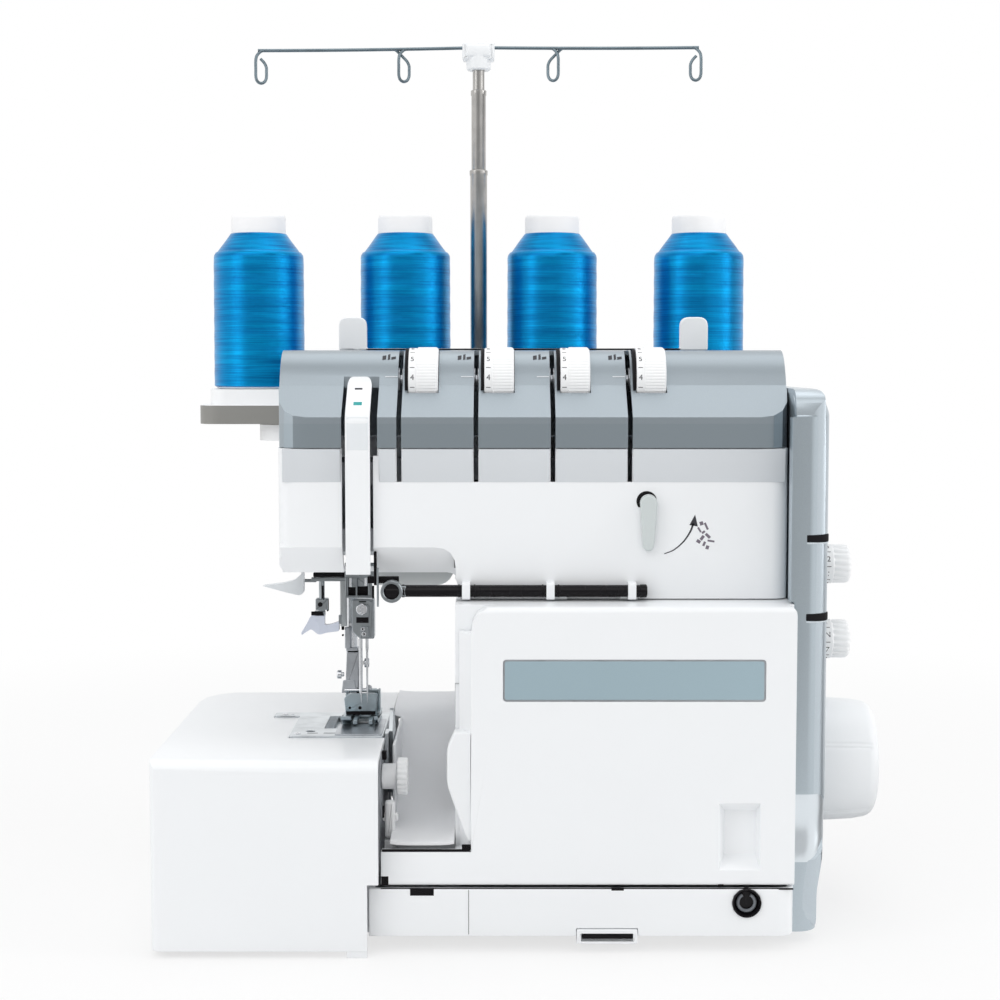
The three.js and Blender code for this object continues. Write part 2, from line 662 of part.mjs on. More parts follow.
// The rear cover closes column and arm, and its wing reaches past the arm's left end.
function rearCoverPiece() {
  const face = (inset) => outline([
    [columnLeft + inset, baseTop + gap + inset],
    [bodyRight - inset, baseTop + gap + inset, bodyCornerRadius],
    [bodyRight - inset, coverSeam - gap - inset, bodyCornerRadius],
    [armLeft - rearCover.wing + inset, coverSeam - gap - inset, bodyCornerRadius],
    [armLeft - rearCover.wing + inset, rearCover.wingBottom + inset, bodyCornerRadius],
    [columnLeft + inset, rearCover.wingBottom + inset],
  ]);
  const front = bodyRear + gap;
  const rear = front + rearCover.depth;
  const vents = Array.from({ length: vent.count },
    (_, index) => vent.bottom + index * vent.pitch).map((z) => prism(
    'y', rectangle([vent.left, vent.right], [z, z + vent.height]), [rear - wall - beyond, rear + beyond],
  ));
  return cut(
    prism('y', face(0), [front, rear]),
    prism('y', face(wall), [front - beyond, rear - wall]),
    ...vents,
  );
}
piece('rear_cover', rearCoverPiece(), whitePlastic);

// ---- Front cover (door) -------------------------------------------------------------------------

const door = {
  left: columnLeft + 8, flank: columnLeft + 2, right: bodyRight - 0.4, stripLeft: tableRight + 0.8,
  stripTop: doorBottom + 16.6, stripDepth: 7, corner: 13,
  hingeY: doorFront + 3.8, hingeZ: doorBottom + 2.6, rod: 1.1, lug: 8, bracket: 4,
};
const hingeLugs = [door.left + 24, door.right - 23.6];
const recess = { left: bodyRight - 37.4, bottom: doorBottom + 7.6, width: 20.1, height: 33,
  narrow: [3.4, 1.2, 6, 5], depth: 7 };
const badge = { left: door.left + 15.4, right: door.right - 14.8, top: doorTop - 25.4, height: 20.6,
  depth: 1.1 };

function frontCover() {
  const face = (inset, low) => outline([
    [door.stripLeft + inset, low], [door.right - inset, low],
    [door.right - inset, doorTop - inset, 4], [door.left + inset, doorTop - inset, door.corner],
    [door.left + inset, door.stripTop - inset], [door.stripLeft + inset, door.stripTop - inset],
  ]);
  const rear = doorFront + doorDepth;
  const edge = outline([
    [doorFront, doorBottom, 1.8], [rear, doorBottom], [rear, doorTop], [doorFront, doorTop, 3.5],
  ]);
  const outer = common(
    prism('y', face(0, doorBottom), [doorFront, rear]),
    prism('x', edge, [door.stripLeft, door.right]),
  );
  const inner = prism('y', face(wall, doorBottom - beyond), [doorFront + wall, rear + beyond]);
  const flank = prism('z', outline([
    [door.left + wall, doorFront + wall], [door.left, doorFront + wall], [door.flank, rear - 1],
    [door.flank, rear], [door.left + wall, rear],
  ]), [door.stripTop - bite, doorTop - door.corner]);
  const stripRear = block([door.stripLeft - beyond, columnLeft], [doorFront + door.stripDepth, rear + beyond],
    [doorBottom - beyond, door.stripTop + beyond]);
  const { left, bottom, width, height, narrow, depth } = recess;
  const mouth = { x: [left, left + width], z: [bottom, bottom + height] };
  const end = {
    x: [mouth.x[0] + narrow[0], mouth.x[1] - narrow[1]], z: [mouth.z[0] + narrow[2], mouth.z[1] - narrow[3]],
  };
  const pocket = block(
    [mouth.x[0] - wall, mouth.x[1] + wall],
    [doorFront + bite, doorFront + depth + wall],
    [mouth.z[0] - wall, mouth.z[1] + wall],
  );
  const lugs = hingeLugs.map((x) => block([x, x + door.lug],
    [doorFront + wall - bite, door.hingeY + 2 * door.rod],
    [doorBottom + 0.9, door.hingeZ + 2]));
  const badgeSeat = prism('y', rectangle([badge.left, badge.right], [badge.top - badge.height, badge.top], 2),
    [doorFront - beyond, doorFront + badge.depth]);
  return cut(
    join(cut(outer, inner), flank, pocket, ...lugs),
    funnel(mouth, doorFront - 0.01, end, doorFront + depth),
    badgeSeat,
    stripRear,
    bar('x', door.hingeY, door.hingeZ, door.rod + gap,
      [hingeLugs[0] - beyond, hingeLugs[1] + door.lug + beyond]),
  );
}
piece('front_cover', frontCover(), whitePlastic);

// The door turns on this rod, and the rod's feet slide along the column's front.
function coverHingeBar() {
  const [left, right] = [door.left + 5, door.right - 10.6];
  const bracket = (x) => block([x, x + door.bracket], [door.hingeY, columnFront - gap],
    [door.hingeZ - door.rod, door.hingeZ + door.rod]);
  return join(
    bar('x', door.hingeY, door.hingeZ, door.rod, [left, right]),
    bracket(left), bracket((left + right - door.bracket) / 2), bracket(right - door.bracket),
  );
}
piece('cover_hinge_bar', coverHingeBar(), steel);

// ---- Waste chute --------------------------------------------------------------------------------

const chuteLeft = tableRight + 6.8;
const chuteRight = columnLeft - gap;
const chute = { low: door.stripTop + 3.5, flat: door.stripTop + 6, rise: plateTop - 30, high: plateTop - 6 };

function wasteChute() {
  const path = new THREE.SplineCurve([
    new THREE.Vector2(doorFront + 1, chute.low), new THREE.Vector2(bulkheadFront, chute.flat),
    new THREE.Vector2(bulkheadFront + 50, chute.rise), new THREE.Vector2(bulkheadRear - 30, chute.high),
    new THREE.Vector2(bulkheadRear + wall - 0.5, plateTop),
  ]).getPoints(12).map((point) => [point.x, point.y]);
  const sheet = prism('x', band(path, -wall, 0), [chuteLeft, chuteRight]);
  const lip = block([chuteLeft, chuteRight], [doorFront + 1, doorFront + 1 + wall],
    [door.stripTop + 1, door.stripTop + 3]);
  const leg = block([chuteLeft, chuteRight], [bulkheadRear + gap, bulkheadRear + gap + wall],
    [baseTop + gap, plateTop - wall]);
  return join(sheet, lip, leg);
}
piece('waste_chute', wasteChute(), whitePlastic);

// ---- Extension table ----------------------------------------------------------------------------

// The table is a box without a right side or a floor; its top is notched round the needle plate.
function extensionTable() {
  const plan = (inset) => outline([
    [tableLeft + inset, inset, tableFrontCorner],
    [tableRight + (inset ? beyond : 0), inset],
    [tableRight + (inset ? beyond : 0), tableDepth - inset],
    [tableLeft + inset, tableDepth - inset, tableRearCorner - inset],
  ]);
  const section = (inset, low) => outline([
    [inset, low], [tableDepth - inset, low], [tableDepth - inset, tableTop - inset, 3],
    [inset, tableTop - inset, tableEdgeRadius],
  ]);
  const sides = (inset, low) => common(
    prism('z', plan(inset), [low, tableTop]),
    prism('x', section(inset, low), [tableLeft, tableRight + (inset ? beyond : 0)]),
  );
  const foot0 = block([tableRight - tableStep - tableFootWidth, tableRight - tableStep],
    [0.4, tableEdgeRadius], [0, tableBottom + bite]);
  const shell = cut(
    sides(0, tableBottom),
    sides(wall, tableBottom - beyond),
    block([tableRight - tableStep, tableRight + beyond], [-beyond, tableDepth + beyond],
      [tableBottom - beyond, tableStepTop]),
    block([plate.left - gap, tableRight + beyond], [plate.front - gap, plate.rear + gap],
      [tableTop - wall - beyond, tableTop + beyond]),
    block([plate.left - plate.tab - gap, tableRight + beyond],
      [plate.rear - plate.tabDepth - gap, plate.rear + gap],
      [tableTop - wall - beyond, tableTop + beyond]),
  );
  const footPart = common(foot0, block([tableLeft, tableRight], [0, wall], [-beyond, tableTop]));
  return join(shell, footPart);
}
piece('extension_table', extensionTable(), whitePlastic);

// ---- Needle plate, feed dog, knives and knob ----------------------------------------------------

function needlePlate() {
  const face = outline([
    [plate.left, plate.front, 1.5], [plate.right, plate.front, 1.5], [plate.right, plate.rear, 1.5],
    [plate.left - plate.tab, plate.rear, 1.5], [plate.left - plate.tab, plate.rear - plate.tabDepth, 1.5],
    [plate.left, plate.rear - plate.tabDepth],
  ]);
  const through = [plateTop - plate.thickness - beyond, plateTop + beyond];
  return cut(
    prism('z', face, [plateTop - plate.thickness, plateTop]),
    block([needleHole.left + 1, needleHole.right - 1], [needleHole.front, needleHole.rear], through),
    block([feedDog.left - gap, feedDog.right + gap],
      [feedDog.front - feedDog.travel - gap, feedDog.rear + feedDog.travel + gap], through),
    bar('z', plate.left + 10, plate.front + 12, 2.4, through),
  );
}
piece('needle_plate', needlePlate(), steel);

function feedDogPiece() {
  const body = [bedTop - 8, plateTop - 0.6];
  const teeth = [];
  for (let y = feedDog.front; y < feedDog.rear - feedDog.toothPitch / 2; y += feedDog.toothPitch) {
    teeth.push([y, body[1]], [y + feedDog.toothPitch * 0.6, body[1] + feedDog.toothHeight]);
  }
  const section = outline([[feedDog.front, body[0]], ...teeth, [feedDog.rear, body[1]],
    [feedDog.rear, body[0]]]
    .reverse());
  const middle = (feedDog.left + feedDog.right) / 2;
  return cut(
    prism('x', section, [feedDog.left, feedDog.right]),
    block([middle - 1.5, middle + 1.5], [feedDog.front - beyond, feedDog.rear + beyond],
      [bedTop + 1, plateTop + beyond]),
  );
}
piece('feed_dog', feedDogPiece(), steel);

function lowerKnife() {
  const top = plateTop - lowerBlade.drop;
  return block([bedRight + gap, bedRight + gap + knifeThickness], [lowerBlade.front, lowerBlade.rear],
    [top - lowerBlade.length, top]);
}
piece('lower_knife', lowerKnife(), steel);

function upperKnife() {
  const left = bedRight + 2 * gap + knifeThickness;
  const arm = outline([
    [knifePivot.y - 5, knifePivot.z - 5, 3], [knifePivot.y + 6, knifePivot.z - 5, 3],
    [knifePivot.y + 6, knifePivot.z + 7, 3],
    [upperBlade.rear, plateTop + upperBlade.elbow, 3],
    [upperBlade.front + 8, plateTop + upperBlade.high, 2],
    [upperBlade.front, plateTop + upperBlade.low],
  ]);
  return cut(
    prism('x', arm, [left, left + knifeThickness]),
    bar('x', knifePivot.y, knifePivot.z, knifePivot.radius + gap,
      [left - beyond, left + knifeThickness + beyond]),
  );
}
piece('upper_knife', upperKnife(), steel);

function cuttingWidthKnob() {
  const left = bedRight + gap;
  const face = left + knob.hubLength;
  return join(
    bar('x', knob.y, knob.z, knob.hubRadius / 2, [left - castWall - 1, left + bite]),
    bar('x', knob.y, knob.z, knob.hubRadius, [left, face + bite], 10),
    prism('x', ribbedCircle(knob.y, knob.z, knob.radius, knob.ribs, 0.7), [face, face + knob.length]),
  );
}
piece('cutting_width_knob', cuttingWidthKnob(), whitePlastic);

// ---- Loopers ------------------------------------------------------------------------------------

// Each looper is a bent steel arm on its own rocking shaft, which turns in the bed's rear wall.
for (const [name, { x, z, front, tip }] of Object.entries(loopers)) {
  const [tipX, tipZ] = tip;
  const ahead = Math.sign(tipX - x);
  const arm = outline([
    [x - 4 * ahead, z - 4, 2], [x + 4 * ahead, z - 4, 2], [x + 4 * ahead, z + 14, 2],
    [tipX, tipZ - 4, 2], [tipX, tipZ], [x - 4 * ahead, z + 22, 4],
  ]);
  piece(name, join(
    bar('y', x, z, looperShaft.radius, [front - looperShaft.ahead, bed.rear + bite]),
    prism('y', arm, [front, front + looperShaft.thickness]),
  ), steel);
}

// ---- Sewing head --------------------------------------------------------------------------------

piece('needle_bar', bar('z', needle.x, needle.y, needleBarRadius,
  [clampBottom + clamp.height + gap, frameTop + 6]), steel);

function needleClamp() {
  const halfWidth = clamp.width / 2;
  const body = prism('z', rectangle(
    [needle.x - halfWidth, needle.x + halfWidth],
      [needle.y - clamp.depth / 2, needle.y + clamp.depth / 2], 1.5,
  ), [clampBottom, clampBottom + clamp.height]);
  const screws = [-1, 1].map((sideSign) => bar(
    'y', needle.x + sideSign * needle.spacing, clampBottom + 6, 1.5,
    [needle.y - clamp.depth / 2 - 2.5, needle.y],
  ));
  const sockets = [-1, 1].map((sideSign) => bar(
    'z', needle.x + (sideSign * needle.spacing) / 2, needle.y, needle.radius + gap,
    [clampBottom - beyond, clampBottom + 5],
  ));
  const half = needle.spacing / 2;
  const bridge = block([needle.x - half, needle.x + half], [needle.y - 0.5 - gap, needle.y + 0.5 + gap],
    [clampBottom - beyond, clampBottom + 5]);
  return cut(join(body, ...screws), ...sockets, bridge);
}
piece('needle_clamp', needleClamp(), steel);

// The two needles are held side by side, their shanks meeting inside the clamp.
function needlePair() {
  const top = clampBottom + 4.5;
  const profile = [
    [0, top - needle.length - 4], [needle.radius * 0.6, top - needle.length + 2],
    [needle.radius * 0.75, top - 12], [needle.radius, top - 10], [needle.radius, top], [0, top],
  ];
  const sides = [-1, 1].map((sideSign) => turned('z', profile,
    [needle.x + (sideSign * needle.spacing) / 2, needle.y, 0], 12));
  const half = needle.spacing / 2;
  return join(...sides, block([needle.x - half, needle.x + half], [needle.y - 0.5, needle.y + 0.5],
    [top - 2, top]));
}
piece('needles', needlePair(), steel);

piece('presser_bar', bar('z', presser.x, presser.y, presser.radius, [foot.shankTop + gap, frameTop + 4]),
  steel);

function presserFoot() {
  const low = plateTop + footRest;
  const sole = prism('x', outline([
    [foot.front, low + 3.2, 1], [foot.front + 7, low, 3], [foot.rear, low, 0.5],
      [foot.rear, low + foot.sole, 0.5],
    [foot.front + 8, low + foot.sole, 2], [foot.front, low + 4.8, 0.5],
  ]), [foot.left, foot.right]);
  const shank = block([presser.x - 4, presser.x + 4], [presser.y - 4, presser.y + 4],
    [low + 1, foot.shankTop]);
  const heel = block([foot.left + 1, foot.right - 4], [presser.y - 2.5, presser.y + 5],
    [low + foot.sole - bite, low + 9]);
  return cut(
    join(sole, shank, heel),
    block([needleHole.left + 1.5, needleHole.right - 1.5], [needleHole.front - 1, needleHole.rear + 1],
      [low - beyond, low + foot.sole + beyond]),
  );
}
piece('presser_foot', presserFoot(), steel);

function presserLifter() {
  const { x, z, boss, reach, post } = lifter;
  const arm = outline([
    [x + boss, z - boss, 3], [x + boss, z + boss, 3], [x - boss, z + boss, 3], [x - boss - 0.2, z - 6],
    [x - 9, z - 9.5, 2], [x - 15, z - 11, 2], [x - reach, z - 12.4, 0.5], [x - reach + 5.6, z - 13.9, 2],
    [x - 11.4, z - 16.4, 2], [x - 6, z - 17.5, 1.2], [x - post, z - 16, 1], [x - post, z - boss],
  ]);
  return cut(
    prism('y', arm, [lifter.front, lifter.rear]),
    bar('y', x, z, lifter.pin + gap, [lifter.front - beyond, lifter.rear + beyond]),
  );
}
piece('presser_lifter', presserLifter(), whitePlastic);

// The threader slides on its own rod, and its finger reaches towards the needles' eyes.
function needleThreader() {
  const { x, y, rod, low, high, collar } = threader;
  const finger = outline([
    [x - 11, low + 5, 1], [x - 5, low + 9, 1], [x + 3, low + 10, 1], [x + 9.5, low + 6, 1],
    [x + 8, low + 1, 1], [x + 1, low + 4, 1], [x - 2, low, 1], [x - 6, low + 1, 1],
  ]);
  return join(
    prism('y', finger, [y - 3, y + 3]),
    bar('z', x, y, rod, [low + 5, high]),
    block([x - 3.5, x + 3.5], [y - 3.5, y + 3.5], [low + collar, low + collar + 6]),
  );
}
piece('needle_threader', needleThreader(), whitePlastic);

// ---- Arm front: rod, clamp and selector ---------------------------------------------------------

// The black rod lies in the housing's clips, with a clamp ring and its ear on the left end.
function guideRodPiece() {
  const clampSpan = [guideRod.left, guideRod.left + rodClamp.length];
  const { y, z, radius } = guideRod;
  return join(
    bar('x', y, z, radius, [guideRod.left - bite, guideRod.right], 10),
    bar('x', y, z, rodClamp.radius, clampSpan, 10),
    block(clampSpan, [y - radius, y + rodClamp.radius - 1], [z, z + rodClamp.head]),
  );
}
piece('guide_rod', guideRodPiece(), blackPlastic);

function selectorLever() {
  const { x, z, hub: radius, tip, length, thickness, pin } = selector;
  const rear = armFront - gap;
  const arm = outline([
    [x - radius, z], [x - tip, z - length, tip * 0.8], [x + tip, z - length, tip * 0.8], [x + radius, z],
  ]);
  return join(
    bar('y', x, z, radius, [rear - thickness, rear], 10),
    prism('y', arm, [rear - thickness, rear - thickness / 3]),
    bar('y', x, z, pin, [rear - bite, armFront + wall + 3]),
  );
}
piece('selector_lever', selectorLever(), greyPlastic);

// ---- Tension dials ------------------------------------------------------------------------------

slotCentres.forEach((x, index) => {
  const left = x + dial.offset;
  const wheelSolid = join(
    bar('x', dial.y, dialZ, dial.radius - 0.6, [left, left + dial.ring + bite], 12),
    prism('x', ribbedCircle(dial.y, dialZ, dial.radius, dial.ribs, 0.8),
      [left + dial.ring, left + dial.ring + dial.ribbed]),
  );
  const bore = bar('x', dial.y, dialZ, tensionShaftRadius + gap,
    [left - beyond, left + dial.ring + dial.ribbed + beyond]);
  piece(`tension_dial_${index + 1}`, cut(wheelSolid, bore), whitePlastic);
});

function tensionShaft() {
  const half = threadSlot.width / 2;
  const discs = slotCentres.flatMap((x) => [
    bar('x', dial.y, dialZ, tensionDisc.radius, [x - half - tensionDisc.thickness, x - half / 2]),
    bar('x', dial.y, dialZ, tensionDisc.radius, [x + half / 2, x + half + tensionDisc.thickness]),
  ]);
  const span = [armLeft + wall + gap, bodyRight - wall - gap];
  return join(bar('x', dial.y, dialZ, tensionShaftRadius, span), ...discs);
}
piece('tension_shaft', tensionShaft(), steel);

// ---- Right-hand cover, dials, handwheel and drive -----------------------------------------------

function sideCover() {
  const left = bodyRight + gap;
  const face = (inset) => outline([
    [side.front + inset, side.bottom + inset, side.corner],
    [side.rear - inset, side.bottom + inset, side.corner],
    [side.rear - inset, side.top - inset, side.corner],
    [side.front + inset, side.top - inset, side.corner],
  ]);
  const front = outline([
    [left, side.bottom], [sideRight - side.taper, side.bottom, 3], [sideRight, wheel.z, 20],
    [sideRight, side.top * 0.6, 20], [sideRight - side.taper, side.top, 5], [left, side.top],
  ]);
  const plan = outline([
    [left, side.front], [sideRight, side.front, side.round], [sideRight, side.rear, side.round], [left, side.rear],
  ]);
  const outer = common(
    prism('x', face(0), [left, sideRight]),
    prism('y', front, [side.front, side.rear]),
    prism('z', plan, [side.bottom, side.top]),
  );
  const cavityRight = sideRight - side.taper - wall;
  const notchRear = side.front + waist.depth;
  const notch = prism('y', outline([
    [sideRight - waist.inset, side.bottom - beyond], [sideRight + beyond, side.bottom - beyond],
    [sideRight + beyond, waist.high], [sideRight, waist.high], [sideRight - waist.inset, waist.low, 4],
  ]), [side.front - beyond, notchRear]);
  const inner = cut(
    prism('x', face(wall), [left - beyond, cavityRight]),
    block([cavityRight - waist.inset + side.taper, sideRight], [side.front, notchRear + wall],
      [side.bottom, waist.high + wall]),
  );
  // The scoop's floor slopes back from its low front edge, and its corner is rounded.
  const scoopSection = (inset) => outline([
    [side.front - beyond, scoop.low - inset], [side.front + inset, scoop.low - inset],
    [side.front + scoop.depth + inset, scoop.high + inset * 0.5], [side.front - beyond, scoop.high + inset * 0.5],
  ]);
  const scoopEnd = outline([
    [left - beyond, scoop.low - beyond], [sideRight + beyond, scoop.low - beyond],
    [sideRight + beyond, scoop.high + beyond, scoop.corner], [left - beyond, scoop.high + beyond],
  ]);
  const scoopCut = common(
    prism('x', scoopSection(0), [left - beyond, sideRight + beyond]),
    prism('y', scoopEnd, [side.front - beyond, side.front + scoop.depth + beyond]),
  );
  const scoopWall = common(prism('x', scoopSection(wall), [left, sideRight]), outer);
  const slots = [stitchDialHeight, differentialDialHeight].map((z) => block(
    [sideRight - sideSlot.length, sideRight + beyond], [side.front - beyond, side.front + sideSlot.depth],
    [z + settingDial.radius + 5, z + settingDial.radius + 5 + sideSlot.height],
  ));
  const reach = [cavityRight - beyond, sideRight + beyond];
  return cut(
    join(cut(outer, inner), scoopWall), scoopCut, notch, ...slots,
    bar('x', wheel.y, wheel.z, mainShaftRadius + 1, reach),
    bar('x', settingDial.y, stitchDialHeight, settingDial.stem + gap, reach),
    bar('x', settingDial.y, differentialDialHeight, settingDial.stem + gap, reach),
    block(reach, [switchBox.y - switchBox.depth / 2 - gap, switchBox.y + switchBox.depth / 2 + gap],
      [switchBox.z - switchBox.height / 2 - gap, switchBox.z + switchBox.height / 2 + gap]),
    block(reach, [inlet.y - inlet.depth / 2 + inlet.rim, inlet.y + inlet.depth / 2 - inlet.rim],
      [inlet.z - inlet.height / 2 + inlet.rim, inlet.z + inlet.height / 2 - inlet.rim]),
  );
}
piece('side_cover', sideCover(), darkSilver);

function settingDialPiece(z) {
  const left = sideRight + gap;
  return join(
    bar('x', settingDial.y, z, settingDial.radius, [left, left + 7], 14),
    prism('x', ribbedCircle(settingDial.y, z, settingDial.radius - 0.6, settingDial.ribs, 0.8),
      [left + 7 - bite, left + settingDial.length]),
    bar('x', settingDial.y, z, settingDial.stem, [bodyRight - wall - 3, left + bite]),
  );
}
piece('stitch_length_dial', settingDialPiece(stitchDialHeight), whitePlastic);
piece('differential_dial', settingDialPiece(differentialDialHeight), whitePlastic);

function handwheel() {
  const { radius, length, hub: hubRadius, taper, shell } = wheel;
  const bore = mainShaftRadius + gap;
  const profile = [
    [bore, 4], [radius - 6, 4], [radius - 5, 1], [radius - 1, 1], [radius, 3], [radius, length * 0.35],
    [radius - taper, length - 5], [radius - taper - 4, length - 1], [hubRadius, length],
    [mainShaftRadius - shell, length], [mainShaftRadius - shell, length - shell],
    [bore, length - shell - 4],
  ];
  return turned('x', profile, [sideRight, wheel.y, wheel.z], 32);
}
piece('handwheel', handwheel(), whitePlastic);

const shaftPulleyLeft = bulkheads[1][1] + beyond;

function mainShaft() {
  const crank = prism('x', outline([
    [wheel.y - 9, wheel.z - 9, 6], [wheel.y + 9, wheel.z - 9, 6], [wheel.y + 12, wheel.z + 16, 8],
    [wheel.y - 12, wheel.z + 16, 8],
  ]), [bulkheads[0][0] - 9, bulkheads[0][0] - 1]);
  return join(
    bar('x', wheel.y, wheel.z, mainShaftRadius,
      [bulkheads[0][0] - 16, sideRight + wheel.length - wheel.shell - 6], 12),
    bar('x', wheel.y, wheel.z, shaftPulleyRadius, [shaftPulleyLeft, shaftPulleyLeft + pulleyWidth], 16),
    crank,
    bar('x', wheel.y, wheel.z, 11, [40, 52], 10),
  );
}
piece('main_shaft', mainShaft(), steel);

function motorBody() {
  const right = bulkheads[1][0] - gap;
  return cut(
    join(
      bar('x', motor.y, motor.z, motor.radius, [motor.left, right], 14),
      bar('x', motor.y, motor.z, motor.radius / 2, [motor.left - 8, motor.left + bite]),
    ),
    bar('x', motor.y, motor.z, motor.shaft + gap, [right - 24, right + beyond]),
  );
}
piece('motor', motorBody(), darkSilver);

piece('motor_rotor', join(
  bar('x', motor.y, motor.z, motor.shaft, [bulkheads[1][0] - 20, shaftPulleyLeft + pulleyWidth]),
  bar('x', motor.y, motor.z, motor.pulley, [shaftPulleyLeft, shaftPulleyLeft + pulleyWidth], 10),
), steel);

// The belt's run: an arc round each pulley, joined by the outer tangents.
function beltLoop(reach) {
  const spanY = motor.y - wheel.y;
  const spanZ = motor.z - wheel.z;
  const heading = Math.atan2(spanZ, spanY);
  const lean = Math.acos((shaftPulleyRadius - motor.pulley) / Math.hypot(spanY, spanZ));
  const loop = new THREE.Shape();
  loop.absarc(wheel.y, wheel.z, shaftPulleyRadius + reach, heading + lean, heading - lean + 2 * Math.PI,
    false);
  loop.absarc(motor.y, motor.z, motor.pulley + reach, heading - lean, heading + lean, false);
  return loop;
}

function driveBelt() {
  const middle = shaftPulleyLeft + pulleyWidth / 2;
  const run = beltLoop(gap + belt.thickness);
  run.holes.push(beltLoop(gap));
  return prism('x', run, [middle - belt.width / 2, middle + belt.width / 2], 10);
}
piece('drive_belt', driveBelt(), rubber);

function powerSwitch() {
  const left = sideRight - wall - side.taper;
  const face = [switchBox.z - switchBox.height / 2, switchBox.z + switchBox.height / 2];
  return prism('y', outline([
    [left, face[0] + 1], [left + switchBox.thickness + 1, face[0] + 1],
      [left + switchBox.thickness + 2.4, face[1] - 1],
    [left, face[1] - 1],
  ]), [switchBox.y - switchBox.depth / 2 + 0.4, switchBox.y + switchBox.depth / 2 - 0.4]);
}
piece('power_switch', powerSwitch(), blackPlastic);

function powerInlet() {
  const right = sideRight - side.taper - wall - gap;
  const outer = block([right - inlet.body, right], [inlet.y - inlet.depth / 2, inlet.y + inlet.depth / 2],
    [inlet.z - inlet.height / 2, inlet.z + inlet.height / 2]);
  const socket = block([right - inlet.body + wall, right + beyond],
    [inlet.y - inlet.depth / 2 + inlet.rim, inlet.y + inlet.depth / 2 - inlet.rim],
    [inlet.z - inlet.height / 2 + inlet.rim, inlet.z + inlet.height / 2 - inlet.rim]);
  return cut(outer, socket);
}
piece('power_inlet', powerInlet(), blackPlastic);

// ---- Thread stand -------------------------------------------------------------------------------

const spoolCentres = [-1.5, -0.5, 0.5, 1.5].map((step) => standX + step * spool.pitch);
const seatTop = trayTop + spoolSeat.height;

// The tray carries a seat and a pin for each spool, and a bracket that reaches to the rear cover.
function spoolTray() {
  const trayFront = standY - tray.depth / 2;
  const outer = rectangle([standX - tray.width / 2, standX + tray.width / 2],
    [trayFront, trayFront + tray.depth], tray.corner);
  const lip = rectangle([standX - tray.width / 2 + tray.lipInset, standX + tray.width / 2 - tray.lipInset],
    [trayFront + 6, trayFront + tray.depth - 6], tray.corner);
  const bracket = block([standX - tray.bracket / 2, standX + tray.bracket / 2],
    [bodyRear + gap + rearCover.depth + gap, trayFront + 20], [coverSeam - tray.bracketDrop, tray.bottom + bite]);
  const seat = rectangle(
    [standX - tray.width / 2 + spoolSeat.inset, standX + tray.width / 2 - spoolSeat.inset],
    [trayFront + spoolSeat.inset, trayFront + tray.depth - spoolSeat.inset], spoolSeat.corner,
  );
  const pins = spoolCentres.map((x) => turned('z', [
    [0, seatTop - bite], [spoolPin.radius, seatTop - bite], [spoolPin.radius, seatTop + spoolPin.height],
    [0, seatTop + spoolPin.height + 2],
  ], [x, standY, 0], 16));
  return join(
    prism('z', outer, [tray.bottom, trayTop], 6),
    prism('z', seat, [trayTop - bite, seatTop], 6),
    prism('z', lip, [tray.bottom - tray.lip, tray.bottom + bite]),
    bracket, ...pins,
  );
}
piece('spool_tray', spoolTray(), whitePlastic);

spoolCentres.forEach((x, index) => {
  const low = seatTop + gap;
  const shoulder = low + spool.height - spool.chamfer;
  const top = low + spool.height;
  const profile = [
    [spool.bore, low], [spool.radius, low], [spool.radius, shoulder], [spool.neck, top],
    [spoolCap.radius, top], [spoolCap.radius - 0.6, top + spoolCap.height],
      [spool.bore, top + spoolCap.height],
  ];
  piece(`spool_${index + 1}`, turned('z', profile, [x, standY, 0], 24), threadBlue);
});

// A tube of the telescopic pole, with its joint ring at the top.
function poleTube(outer, inner, low, high, ring) {
  const profile = [[inner, low], [outer, low], [outer, high - poleRing.height],
    [ring, high - poleRing.height + 0.5],
    [ring, high - 0.5], [outer, high], [inner, high]];
  return turned('z', profile, [standX, standY, 0], 20);
}
const poleTopLow = trayTop + pole.lengths[0];
const poleTopMiddle = poleTopLow + pole.lengths[1];
const poleTopHigh = poleTopMiddle + pole.lengths[2];
piece('pole_lower', poleTube(pole.outer[0], pole.inner[0], seatTop + gap, poleTopLow, poleRing.radius),
  chrome);
piece('pole_middle', poleTube(pole.outer[1], pole.inner[1], poleTopLow - pole.overlap, poleTopMiddle,
  pole.outer[1] + 0.6), chrome);
piece('pole_upper', turned('z', [
  [0, poleTopMiddle - pole.overlap / 2], [pole.outer[2], poleTopMiddle - pole.overlap / 2],
  [pole.outer[2], poleTopHigh], [0, poleTopHigh],
], [standX, standY, 0], 20), chrome);

const hubLow = poleTopHigh - 6;
const wireHeight = hubLow + 6 + hub.height - 2.5;

function guideHub() {
  const top = hubLow + 6 + hub.height;
  return cut(
    join(
      prism('z', rectangle([standX - hub.width / 2, standX + hub.width / 2],
        [standY - hub.depth / 2, standY + hub.depth / 2], 3), [hubLow + 6, top]),
      bar('z', standX, standY, hub.flange / 2, [hubLow, hubLow + 6 + bite], 10),
    ),
    bar('z', standX, standY, pole.outer[2] + gap, [hubLow - beyond, poleTopHigh + gap]),
    bar('x', standY, wireHeight, wire.radius + gap, [standX - hub.width, standX + hub.width]),
  );
}
piece('guide_hub', guideHub(), whitePlastic);

